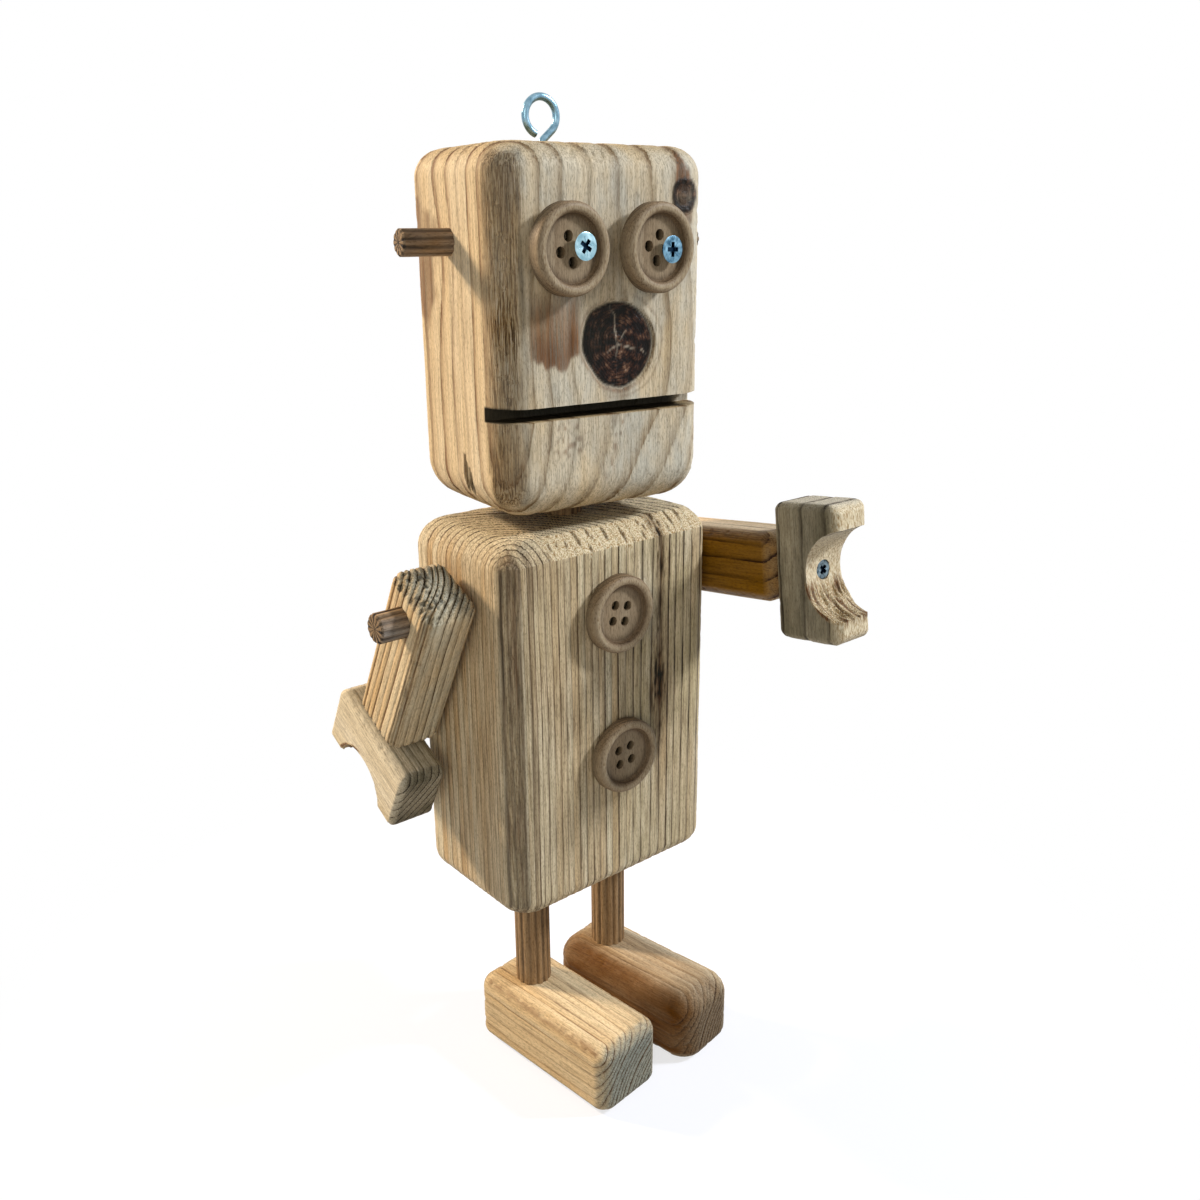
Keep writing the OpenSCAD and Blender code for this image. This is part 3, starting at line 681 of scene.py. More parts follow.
def zinc_plate(name, colour):
    """Metal whose colour and roughness wander between two values in patches of about 1.5 mm, as barrel plating
    leaves it, painted dark as shade where the recess attribute is 1."""
    material, tree = empty_material(name)
    place = add(tree, "ShaderNodeTexCoord", {}, {}, "Object")
    haze = add(tree, "ShaderNodeTexNoise", {}, {"Vector": place, "Scale": 1 / (HAZE_SIZE * MM), "Detail": 3.0})
    gloss = add(tree, RANGE, {}, {0: haze, 1: 0.3, 2: 0.7, 3: HAZE_GLOSS[0], 4: HAZE_GLOSS[1]})
    tone = add(tree, RAMP, {"stops": [(0.3, colour[0]), (0.7, colour[1])]}, {0: haze})
    recess = add(tree, FIELD, {"attribute_name": "recess"}, {}, "Fac")
    tone = add(tree, MIX, BLEND, {0: recess, 6: tone, 7: linear(RECESS_SHADE_COLOUR)}, 2)
    surface = add(tree, "ShaderNodeBsdfPrincipled", {}, {"Base Color": tone, "Metallic": 1.0, "Roughness": gloss})
    add(tree, "ShaderNodeOutputMaterial", {}, {"Surface": surface}, None)
    return material


zinc = zinc_plate("zinc_plated_steel", ("#86b2c2", "#b0d2dc"))
dull_zinc = zinc_plate("dull_zinc_plated_steel", ("#64899d", "#8fb0c0"))
# A darker, patchier plating for the hand screws, which is painted shade.
shaded_zinc = zinc_plate("shaded_zinc_plated_steel", ("#38464f", "#8497a0"))
grimy_zinc = zinc_plate("grimy_zinc_plated_steel", ("#3d6580", "#86b0c6"))
print("made", zinc.name, dull_zinc.name, shaded_zinc.name, grimy_zinc.name)

# %% [markdown]
# The head is a block of wide-ringed pine with two knots on its front: a big dark one for the nose, cracked as it
# dried, and a small one near the top. A picture of a knot would be flat, so the knot is worked out as a field:
# how far each point is from its middle, in radii. The colours, the sunk face and the cracks all read that field.

# %% The head's knots
HEAD_SIZE = (69.5, 55, 99.5)
HEAD_RADII = (10, 12, 8)
FACE_Y = -HEAD_SIZE[1] / 2
NOSE_AT, NOSE_R = (2.6, 47.1), 11.8
NOSE_CRACKS = [(100, 0.97, 0.75), (-14, 0.9, 0.9), (52, 0.45, 0.4), (205, 0.4, 0.5), (262, 0.35, 0.4)]
SMALL_KNOT_AT, SMALL_KNOT_R = (25.2, 86.4), 4.1
KNOT_RING = 0.95


def bell(values, middle, width):
    """The bell curve exp(-((v - middle) / width)^2)."""
    return np.exp(-((values - middle) / width) ** 2)


def nose_knot(x, z, points):
    """Distance from the nose's middle in radii, with a bump and a dent in its outline, the angle round it, and the
    cracks in it: a crack is where the sine of the angle to its direction is small, as far as its reach."""
    angle = np.arctan2(z - NOSE_AT[1], x - NOSE_AT[0])
    outline = 1 + 0.08 * bell(angle, 2.4, 0.35) - 0.1 * bell(angle, -2.5, 0.4)
    outline = outline + 0.03 * lattice_noise(points, 4, 51)
    nose = np.hypot(x - NOSE_AT[0], z - NOSE_AT[1]) / (NOSE_R * outline)
    cracks = np.zeros_like(x)
    for degrees, reach, strength in NOSE_CRACKS:
        turn = angle - math.radians(degrees) + 0.14 * lattice_noise(points, 2.5, 53)
        off = np.abs(np.sin(turn)) * nose * NOSE_R
        on = (np.cos(turn) > 0) * (1 - smooth(nose, reach - 0.1, reach))
        on = on * (0.6 + 0.4 * lattice_noise(points, 1.5, 54))
        cracks = np.maximum(cracks, strength * on * (1 - smooth(off, 0.05, 0.36)))
    return nose, angle, cracks


def small_knot(x, z, points):
    """Distance from the small knot's middle in radii, made uneven by noise."""
    away = np.hypot(x - SMALL_KNOT_AT[0], z - SMALL_KNOT_AT[1]) / SMALL_KNOT_R
    return away + 0.08 * lattice_noise(points, 3, 57)


print("the nose has", len(NOSE_CRACKS), "cracks")

# %% [markdown]
# Brown stains lie beside the nose, on the chin and round the small knot, where resin and dirt soaked in.
# Each is drawn as a soft patch whose edges are fringed along the fibres, because that is the way wood drinks.

# %% The head's stains


def patch(x, z, middle, size, ragged):
    """1 inside a soft ellipse, 0 outside it, with ragged added to the distance from its middle."""
    away = np.hypot((x - middle[0]) / size[0], (z - middle[1]) / size[1])
    return 1 - smooth(away + ragged, 0.75, 1.05)


def head_stains(x, z, nose, angle, points):
    """The greatest of seven stains on the front. The cheek's lower edge is a parabola fringed by fine noise, the
    flare and the chin are patches and a leaning bell curve, and the bark is a bell curve just outside the nose."""
    ragged = lattice_noise(points, 5, 55)
    fine = lattice_noise(points, (1.3, 20, 30), 52)
    spots = smooth(lattice_noise(points, (0.8, 20, 1.6), 56), -0.2, 0.6)
    low_edge = 40.5 + 0.08 * (x + 18) ** 2 + 2.2 * fine
    cheek = smooth(x, -26.5, -24.5) * (1 - smooth(x, -11, -8.6)) * smooth(z, low_edge, low_edge + 1.6)
    cheek = cheek * (1 - smooth(z, 56, 66))
    cheek = cheek * (0.76 + 0.25 * bell(z, low_edge + 4, 6) + 0.2 * fine)
    flare = patch(x + 0.1 * (z - 86), z, (24.8, 91), (3.6 - 0.18 * (z - 86), 8), 0.2 * ragged)
    flare = flare * smooth(z, 85, 88)
    below = patch(x, z, (25.2, 82), (4, 4.5), 0.3 * ragged)
    chin_left = patch(x, z, (-15, 22.5), (8, 5), 0.4 * fine) * spots
    chin_band = bell(x - 0.34 * (z - 19), 1.5, 1.7) * smooth(z, 6, 12) * (1 - smooth(z, 27, 30)) * spots
    bark = bell(nose, 1.07, 0.05) * smooth(np.cos(angle + 2.5), -0.6, 0.6)
    rim = bell(nose, 1.22, 0.03) * smooth(np.cos(angle + 0.2), -0.4, 0.5)
    around = [0.75 * below, 0.6 * chin_left, 0.6 * chin_band, 0.75 * bark, 0.4 * rim]
    return np.maximum.reduce([flare, cheek, *around])


print("a stain's middle is", patch(0.0, 0.0, (0, 0), (4, 4), 0), "strong")

# %% [markdown]
# The head was cut with the tree's pith at its front right edge. So its front and its side both show the rings as
# bands, its top shows quarter arcs, and the edge itself is torn. The side has two small splits and a brown figure.
# The mouth is one saw cut, and the neck's bore is open below so that the head can turn on its dowel.

# %% Head
EAR_FIGURE_AT, EAR_FIGURE_SIZE = (16, 71), (9.5, 17)
SPLITS = [((-4.2, 12), (0.8, 5.5)), ((-6.6, 9.8), (0.6, 4.2))]
MOUTH_Z, MOUTH_H, MOUTH_DEPTH, MOUTH_ROUND = 30, 3.7, 10, 0.3
DOWEL_BORE_R = 6.08
BORE_START = 1
NECK_BORE_LENGTH = 21


def head_marks(points, normals):
    """Knots and stains on the front, the torn band round the front right edge, and splits and a figure on the side.
    Each is a product of soft steps, bell curves and patches that noise makes uneven."""
    x, y, z = np.moveaxis(points, -1, 0)
    front, side = smooth(-y, 17, 23), smooth(-x, 28, 33)
    nose, angle, cracks = nose_knot(x, z, points)
    disc = front * (1 - smooth(nose, 0.95, 1.0))
    small = small_knot(x, z, points)
    small_ring = front * smooth(small, 0.55, 0.75) * (1 - smooth(small, 1.05, 1.25))
    small_disc = front * (1 - smooth(small, 0.75, 0.9))
    small_rim = front * bell(small, 0.9, 0.16) * (0.8 + 0.3 * lattice_noise(points, 1.3, 68))
    figure = side * patch(y, z, EAR_FIGURE_AT, EAR_FIGURE_SIZE, 0.3 * lattice_noise(points, 5, 58))
    figure = figure * (0.68 - 0.2 * smooth(z, 66, 76) + 0.4 * lattice_noise(points, (1.2, 1.2, 22), 67))
    # The splits are sunk, and painted dark inside as shade.
    split = side * np.maximum(*(patch(y, z, middle, size, 0) for middle, size in SPLITS))

    to_side, to_front = -normals[..., 0], -normals[..., 1]
    torn_edge = smooth(to_side, 0.22, 0.5) * smooth(to_front, 0.12, 0.35)
    torn_edge = torn_edge * (1 - smooth(np.abs(normals[..., 2]), 0.5, 0.8))
    edge_lines = bell(to_side, 0.24, 0.07) * smooth(to_front, 0.5, 0.8)
    edge_lines = edge_lines + bell(to_front, 0.3, 0.07) * smooth(to_side, 0.5, 0.8)
    edge_lines = edge_lines * (x < 0) * (0.65 + 0.35 * lattice_noise(points, (3, 3, 14), 59))

    # Painted shade: the inside of the saw cut for the mouth is painted nearly black.
    mouth = (np.abs(z - MOUTH_Z) < MOUTH_H / 2 + 0.2) * smooth(y, FACE_Y + 0.6, FACE_Y + 4)
    mouth = mouth * (y < FACE_Y + MOUTH_DEPTH + 0.3) * (1 - smooth(x, 27, 33))
    pitch_black = disc * (1 - np.minimum(cracks, 1)) * smooth(np.cos(angle - 2.5) * nose, -0.1, 0.6)
    pitch_black = np.maximum(pitch_black, front * bell(nose, 0.95, 0.06))
    pitch_black = pitch_black * (0.8 + 0.2 * lattice_noise(points, 1.1, 64))
    sunk = disc * (0.45 + 0.12 * lattice_noise(points, 1.4, 60) + 0.4 * cracks)
    sunk = sunk + front * 0.6 * bell(nose, 1.0, 0.04)
    stains = [front * head_stains(x, z, nose, angle, points), np.clip(figure, 0, 1), 0.3 * torn_edge]
    darks = [0.93 * mouth, 0.9 * split, 0.6 * edge_lines, 0.7 * pitch_black, 0.75 * small_rim]
    knot_away = np.where(small < 1.3, small * SMALL_KNOT_R, nose * NOSE_R)
    # A knot mark above 1 is a crack, which the material paints pale as a highlight.
    return {
        **no_marks(points, normals),
        "stain": np.maximum.reduce(stains),
        "rough": np.clip(torn_edge * (0.8 + 0.35 * lattice_noise(points, (6, 6, 18), 63)), 0, 1),
        "knot": np.maximum(disc * (1 + cracks), np.maximum(0.95 * small_ring, 0.75 * small_disc)),
        "dark": np.clip(np.maximum.reduce(darks), 0, 1),
        "hollow": sunk + 0.35 * small_disc + 1.6 * split,
        "knot_rings": knot_away / KNOT_RING + 0.5 * lattice_noise(points, 3, 61),
    }


head_plank = {
    "axes": [0, 1, 2], "pith": (-37, -31), "squeeze": 0.8, "ring": (4.5, 0.1), "start": 1.67,
    "slow": (64, 5, 1.2), "waver": 1.1, "seed": 11, "luck": 0.12, "lean": (-0.35, 32),
    "relief": 0.14, "sanding": 0.15, "weather": (0, -1, 0), "marks": head_marks,
    "knots": [(0, *NOSE_AT, 12, (1, 0, -16)), (0, *SMALL_KNOT_AT, 4, (1, 0, -16)),
              (1, *EAR_FIGURE_AT, 8, (0, 10, -20))],
}
head_block = sanded_block(HEAD_SIZE, HEAD_RADII, (0.42, 0.75, 1.0, 0.58))
saw_size = (HEAD_SIZE[0] + 6, MOUTH_DEPTH + 4, MOUTH_H)
saw_grid = sanded_block(saw_size, (MOUTH_ROUND,) * 3, (0.8, 0.8, 0.8, 0.6))
saw_place = on_head @ moved(0, FACE_Y + (MOUTH_DEPTH - 4) / 2, MOUTH_Z - MOUTH_H / 2)
neck_bore = bore(DOWEL_BORE_R, NECK_BORE_LENGTH, on_head @ moved(0, 0, -BORE_START))
pine_piece("pine_head", head_block, head_plank, on_head, [piece_of("mouth", saw_grid, saw_place), neck_bore],
           "head", "head_block", "pine", head_pine)

# %% [markdown]
# The torso is cut from closer-grown pine, with the pith at its front right edge again. A few slow years near the
# edge lie close together, and the rest are 3 to 4 mm wide.
# A dark torn streak runs down the front, the front right edge is torn and reddish, and the sanded top edge is bare.
# The legs turn in two bores in its underside. The neck and shoulder dowels are glued in, so they need no bore.

# %% Torso
TORSO_SIZE = (80.5, 53.5, 119.5)
TORSO_RADII = (9, 6, 9)
TORSO_FRONT_TOP = (6.2, 1.2)
TORSO_CORNER_STEPS = 28
LEG_BORE_LENGTH = 26
STREAK_X = 16.5
EDGE_LINES = [(0.07, 0.5), (0.19, 0.9), (0.5, 0.8), (0.6, 0.5), (0.76, 0.6), (0.9, 0.9)]
EDGE_LINE_WIDTH = 0.04


def torso_marks(points, normals):
    """The streak is a bell curve across its wandering middle, and each line on the front right edge one across the
    way round it, from 0 at the front to 1 at the side. The slopes of torn fibres are dark on the bare top edge and
    the streak. The front greys less towards its right, and towards its lower end as painted floor bounce."""
    x, y, z = np.moveaxis(points, -1, 0)
    front = smooth(-y, 17, 22)
    fine = 0.6 * lattice_noise(points, (0.8, 12, 9), 61) + 0.6 * lattice_noise(points, (0.6, 12, 2.2), 69)
    middle = STREAK_X + 1.1 * lattice_noise(points, (60, 60, 14), 62)
    torn_out = 0.45 + 0.8 * bell(z, 65, 13) + 0.25 * smooth(z, 92, 104)
    streak = front * bell(x, middle, 0.8 + 1.6 * torn_out) * smooth(z, 10, 50) * torn_out * (0.8 + 0.5 * fine)

    edge_r = TORSO_RADII[0]
    to_side = np.clip((edge_r - TORSO_SIZE[0] / 2 - x) / edge_r, 0, 1)
    to_front = np.clip((edge_r - TORSO_SIZE[1] / 2 - y) / edge_r, 0, 1)
    torn_edge = smooth(to_side, 0.42, 0.55) * smooth(to_front, 0.25, 0.5)
    sway = to_side + 0.03 * lattice_noise(points, (40, 40, 16), 65)
    threads = lattice_noise(points, (0.8, 0.8, 16), 66)
    edge_lines = sum(power * bell(sway, at, EDGE_LINE_WIDTH) for at, power in EDGE_LINES)
    edge_lines = edge_lines * smooth(to_front, 0.1, 0.4) * (0.75 + 0.4 * threads)
    red = 0.25 * torn_edge + 0.9 * bell(sway, 0.66, 0.1) * smooth(to_front, 0.3, 0.6)
    red = red * (0.65 + 0.4 * threads)

    top = normals[..., 2]
    bare = smooth(top, 0.3, 0.4) * (1 - smooth(top, 0.85, 0.97)) * smooth(-normals[..., 1], 0.15, 0.35)
    bare = np.clip(bare * smooth(z, 100, 105) * smooth(x + 0.4 * z, 18, 24), 0, 1)
    slopes = smooth(-normals[..., 0], 0.12, 0.3) * np.clip(bare + streak, 0, 1)
    patches = 6 * lattice_noise(points, (14, 14, 40), 70)
    # Less grey low on the front: painted light bounced from the floor.
    greying = smooth(x + patches, -16, 14) * (0.4 + 0.6 * smooth(z + patches, 24, 52))
    dark = 0.95 * streak * smooth(fine, -0.35, 0.4) + 0.75 * edge_lines + 0.35 * slopes
    return {
        **no_marks(points, normals),
        "stain": np.clip(0.85 * streak + 0.6 * red + 0.7 * edge_lines + 0.4 * slopes, 0, 1),
        "rough": np.clip(0.5 * torn_edge + 0.9 * streak + 0.6 * slopes, 0, 1),
        "less_greyed": 0.6 - 0.6 * greying,
        "dark": np.clip(dark, 0, 1),
        "bare": 0.8 * bare,
        "hollow": 0.45 * streak * smooth(fine, -0.1, 0.6),
    }


torso_plank = {
    "axes": [0, 1, 2], "pith": (-44, -29), "ring": (1.8, 0.026), "slow": (9.5, 3.5, 0.6), "luck": 0.25,
    "waver": 0.45, "wave": 70, "seed": 21, "relief": 0.13, "sanding": 0.15, "nicks": 0.14,
    "weather": (0, -1, 0), "marks": torso_marks,
}
torso_block = sanded_block(TORSO_SIZE, TORSO_RADII, (0.4, 0.9, 1.6, 0.72), front_top=TORSO_FRONT_TOP,
                           corner_steps=TORSO_CORNER_STEPS)
hips = [on_leg[side] @ moved(0, 0, TORSO_Z - BORE_START) for side in SIDES]
leg_bores = [bore(DOWEL_BORE_R, LEG_BORE_LENGTH, hip) for hip in hips]
pine_piece("pine_torso", torso_block, torso_plank, on_torso, leg_bores,
           "torso", "torso_block", "pine", torso_pine)

# %% [markdown]
# An arm is a short bar with its ends sanded to blunt chamfers, drilled across for the shoulder dowel.
# The two arms come from different sticks, so each has its own pith and ring width.

# %% Arms
ARM_SIZE = (18, 22.5, 60.7)
ARM_BELOW = 48.2
ARM_RADII = (3.5, 4.8, 4.8)
ARM_BORE_R = 4.58
CUT_PAST = 2
BLUNT = (1.6, 1.6, 1.6)
arm_finish = {RIGHT: limb_pine, LEFT: glossy_shade_painted_pine}
arm_woods = {
    RIGHT: {"pith": (-32, 24), "ring": (1.75, 0.004), "weather": (0.1, -0.9, 0.6), "seed": 31, "relief": 0.22,
            "end_depth": 3.0},
    # The left arm's weather faces its inner side, towards the torso, which gets painted shade.
    LEFT: {"pith": (-26, -24), "ring": (4.2, 0.004), "weather": (-1, 0, 0), "seed": 34, "relief": 0.04},
}


def arm_marks(points, normals):
    """Pits where soft spring wood broke out of the sanded top end, which are steps of noise and are painted dark as
    shade, and a torn line down the front outer edge, which is a bell curve across the way the edge looks."""
    pits = smooth(lattice_noise(points, (0.8, 0.8, 3), 35), 0.05, 0.45) * smooth(normals[..., 2], 0.2, 0.5)
    pits = pits * smooth(-points[..., 0], -1.5, 3) * smooth(lattice_noise(points, (3, 3, 9), 36), -0.6, 0.1)
    torn = bell(-normals[..., 0], 0.7, 0.25) * smooth(-normals[..., 1], 0.2, 0.5)
    # The pits are sunk and painted nearly black, which is painted shade.
    marks = {"rough": 0.7 * torn, "stain": 0.35 * torn, "dark": 0.8 * pits, "hollow": 0.5 * pits}
    return {**no_marks(points, normals), **marks}


for side, word in SIDES.items():
    arm_plank = {"axes": [0, 1, 2], "waver": 0.6, "sanding": 0.2, "marks": arm_marks, **arm_woods[side]}
    arm_block = sanded_block(ARM_SIZE, ARM_RADII, (0.45, 0.45, 0.6, 0.45), BLUNT)
    bore_place = on_arm[side] @ moved(-ARM_SIZE[0] / 2 - CUT_PAST, 0, 0) @ turned("y", 90)
    arm_bore = bore(ARM_BORE_R, ARM_SIZE[0] + 2 * CUT_PAST, bore_place)
    pine_piece("pine_arm_" + word, arm_block, arm_plank, on_arm[side] @ moved(0, 0, -ARM_BELOW), [arm_bore],
               word + "_arm", word + "_arm_block", "warm_pine", arm_finish[side])

# %% [markdown]
# A hand is a small block across the arm's end, with half a hole for a grip, as if a strip was drilled and then sawn
# through. The drill tore the fibres on one side of the grip, so the cutter's own skin is ridged there.

# %% Hands
HAND_SIZE = (16.5, 42.5, 24.5)
HAND_RADII = (2.2, 3.2, 3.2)
HAND_OUT = {RIGHT: 1.3, LEFT: -0.9}
GRIP_R, GRIP_MIDDLE, GRIP_FLOOR = 13.5, 74.7, 61.2
SCREW_HEAD_H, SCREW_HOLE_R, HAND_SCREW_R, SINK_ROOM = 2, 1.95, 2.9, 0.15
hand_woods = {
    RIGHT: {"pith": (-52, 44), "ring": (2.3, 0.002), "weather": (0.3, -0.9, 0.5), "seed": 41, "relief": 0.09},
    # The left hand's weather faces its inner side, whose grey is partly painted shade.
    LEFT: {"pith": (5, 120), "ring": (9.5, 0.0002), "weather": (-0.95, 0, 0), "seed": 44, "relief": 0.08,
           "start": 0.55},
}


def grip_cutter(place):
    """Cylinder along its z axis whose radius grows by up to 0.75 mm in ridges 1 mm wide on the torn side, and by up
    to 0.15 mm all round."""
    grid = turned_grid([(GRIP_R, h) for h in np.linspace(0, HAND_SIZE[0] + 2 * CUT_PAST, 60)], 200)
    torn = smooth(grid[..., 1], 2, 8) * smooth(depth_noise(grid, (6, 6, 1.0), 71), 0.35, 0.75)
    grow = 0.15 * depth_noise(grid, 1.2, 72) + 0.75 * torn
    grid[..., :2] *= (1 + grow / GRIP_R)[..., None]
    return piece_of("grip", grid, place)


def hand_marks(points, normals):
    """Torn brown fibres on one side of the grip: near its circle, and past its middle along the hand. The tips are
    bare."""
    y, z = points[..., 1], points[..., 2] + GRIP_MIDDLE - ARM_BELOW - HAND_SIZE[2]
    torn = (1 - smooth(np.hypot(y, z), GRIP_R + 0.8, GRIP_R + 1.4)) * smooth(y, 1.5, 5)
    threads = lattice_noise(points, (0.7, 6, 6), 73)
    bare = np.maximum(0.75 * torn, 0.6 * smooth(-normals[..., 2], 0.5, 0.9))
    marks = {"rough": 0.5 * torn, "bare": bare, "stain": torn * smooth(threads, 0.1, 0.4)}
    return {**no_marks(points, normals), **marks}


in_grip = {}
for side, word in SIDES.items():
    middle = on_arm[side] @ moved(side * HAND_OUT[side], 0, 0)
    in_grip[side] = middle @ moved(0, 0, SCREW_HEAD_H - GRIP_FLOOR) @ turned("x", 180)
    hand_plank = {"axes": [0, 2, 1], "waver": 0.5, "sanding": 0.2, "nicks": 0.15, "marks": hand_marks,
                  **hand_woods[side]}
    hand_block = sanded_block(HAND_SIZE, HAND_RADII, (0.45,) * 4, BLUNT)
    grip_place = middle @ moved(-HAND_SIZE[0] / 2 - CUT_PAST, 0, -GRIP_MIDDLE) @ turned("y", 90)
    sink_r = HAND_SCREW_R + SINK_ROOM
    sink = [(SCREW_HOLE_R, -1), (SCREW_HOLE_R, 0), (sink_r, SCREW_HEAD_H), (sink_r, SCREW_HEAD_H + CUT_PAST)]
    cutters = [grip_cutter(grip_place), piece_of("sink", turned_grid(sink, 64), in_grip[side])]
    hand_place = middle @ moved(0, 0, -ARM_BELOW - HAND_SIZE[2])
    pine_piece("pine_hand_" + word, hand_block, hand_plank, hand_place, cutters,
               word + "_arm", word + "_hand", "pine", hand_pine)

# %% [markdown]
# The feet are two more blocks with their grain along the foot. The left one was sanded rounder than the right one.

# %% Feet
FOOT_SIZE = (27, 62, 25)
FOOT_FRONT = FOOT_SIZE[1] / 2 - 15
FOOT_RADII = {RIGHT: (5.0, 4, 4.7), LEFT: (7.4, 4, 7.4)}
NEARLY_ROUND = (1.8, 1.8, 1.8)
foot_finish = {RIGHT: limb_pine, LEFT: shade_painted_pine}
foot_woods = {
    RIGHT: {"pith": (25, -8), "ring": (1.7, 0.004), "weather": (0, -0.25, 0), "seed": 81},
    # The left foot's weather takes its inner side and top, which get painted shade.
    LEFT: {"pith": (26, -4), "ring": (1.6, 0.004), "weather": (-1, -0.2, 0.5), "seed": 84},
}
for side, word in SIDES.items():
    foot_plank = {"axes": [0, 2, 1], "waver": 0.5, "relief": 0.13, "sanding": 0.2, "marks": no_marks,
                  **foot_woods[side]}
    foot_block = sanded_block(FOOT_SIZE, FOOT_RADII[side], (0.45, 0.55, 0.7, 0.5), NEARLY_ROUND)
    pine_piece("pine_foot_" + word, foot_block, foot_plank, on_leg[side] @ moved(0, -FOOT_FRONT, 0), [],
               word + "_leg", word + "_foot", "warm_pine", foot_finish[side])

# %% [markdown]
# The legs, neck, shoulders and ears are fluted dowel: shallow grooves along it that let glue and air past.
# The stain sits dark in the grooves and pale on the ridges, so one wave round the dowel gives shape and colour.

# %% Dowels
FLUTE_COLUMNS, FLUTE_DEPTH = 8, 0.32
DOWEL_CHAMFER, DOWEL_PITCH = 0.6, 0.8
CHAMFER_ROWS = np.array([0, 0.25, 0.5, DOWEL_CHAMFER])
CAP_ROWS = np.array([0.3, 0.6, 0.85])
GREYED_FRONT = (0, -0.8, 0)


def fluted_dowel(name, diameter, length, flutes, place, body, node, weather=(0, 0, 0)):
    """Radius r - 0.32 (0.5 + 0.5 cos(n a))^2 along z for n flutes, drawn in by 0.6 mm at both ends for the chamfer,
    with the wave kept as the ring count."""
    z = np.linspace(1, length - 1, round(length / DOWEL_PITCH))
    z = np.concatenate([CHAMFER_ROWS, z, length - CHAMFER_ROWS[::-1]])
    chamfer = np.clip(DOWEL_CHAMFER - np.minimum(z, length - z), 0, DOWEL_CHAMFER)
    scale = np.concatenate([CAP_ROWS, np.ones(len(z)), CAP_ROWS[::-1]])[:, None]
    chamfer = np.pad(chamfer, len(CAP_ROWS), constant_values=DOWEL_CHAMFER)[:, None]
    z = np.pad(z, len(CAP_ROWS), constant_values=(0, length))[:, None]
    angle = np.linspace(0, 2 * math.pi, flutes * FLUTE_COLUMNS, endpoint=False)
    groove = FLUTE_DEPTH * (0.5 + 0.5 * np.cos(flutes * angle)) ** 2
    r = scale * (diameter / 2 - chamfer - groove)
    grid = np.stack([r * np.cos(angle), r * np.sin(angle), np.broadcast_to(z, r.shape)], -1)
    piece = piece_of(name, grid, place)

    def wave(points, plank):
        """The root of the flutes' cosine wave, made uneven by noise and kept below 1: one dark line a groove."""
        turn = np.arctan2(points[..., 1], points[..., 0])
        strength = 0.75 + 0.25 * lattice_noise(points, (1.6, 1.6, 25), 91)
        return 0.08 + 0.82 * strength * np.sqrt(0.5 + 0.5 * np.cos(flutes * turn))

    dress(piece, {"axes": [0, 1, 2], "count": wave, "weather": weather, "marks": no_marks}, place)
    settle(piece, body, node, "dowel", stained_dowel)


NECK_Z, LEG_Z = 175.7, 9
SHOULDER_LENGTH = 136.9
EAR_X, EAR_Z = 20.75, 74.6
shoulder_place = moved(-SHOULDER_LENGTH / 2, SHOULDER_Y, SHOULDER_Z) @ turned("y", 90)
fluted_dowel("neck_dowel_wood", 12, 38.9, 15, moved(0, 0, NECK_Z), "torso", "neck_dowel")
fluted_dowel("shoulder_dowel_wood", 9, SHOULDER_LENGTH, 12, shoulder_place, "torso", "shoulder_dowel", GREYED_FRONT)
for side, word in SIDES.items():
    leg_place = on_leg[side] @ moved(0, 0, LEG_Z)
    fluted_dowel("leg_dowel_" + word, 12, 86.2, 15, leg_place, word + "_leg", word + "_leg_dowel")
    ear_place = on_head @ moved(side * EAR_X, 0, EAR_Z) @ turned("y", side * 90)
    fluted_dowel("ear_peg_" + word, 7.5, 28.5, 10, ear_place, "head", word + "_ear_peg", GREYED_FRONT)

# %% [markdown]
# The buttons are turned on a lathe: a round raised rim, a slope and a dished floor, then four drilled holes.
# So each is a profile carried round its axis, and the holes are cut afterwards.

# %% Buttons
BUTTON_D, BUTTON_COLUMNS = 24, 144
RIM_R, DISH, SLOPE, BACK_CHAMFER, FLOOR_SINK = 1.6, 2.2, 0.5, 0.8, 0.25
HOLE_CIRCLE, HOLE_R = 3.4, 1.5
TOOL_STEP, TOOL_DEPTH, UNEVEN = 0.9, 0.03, 0.12


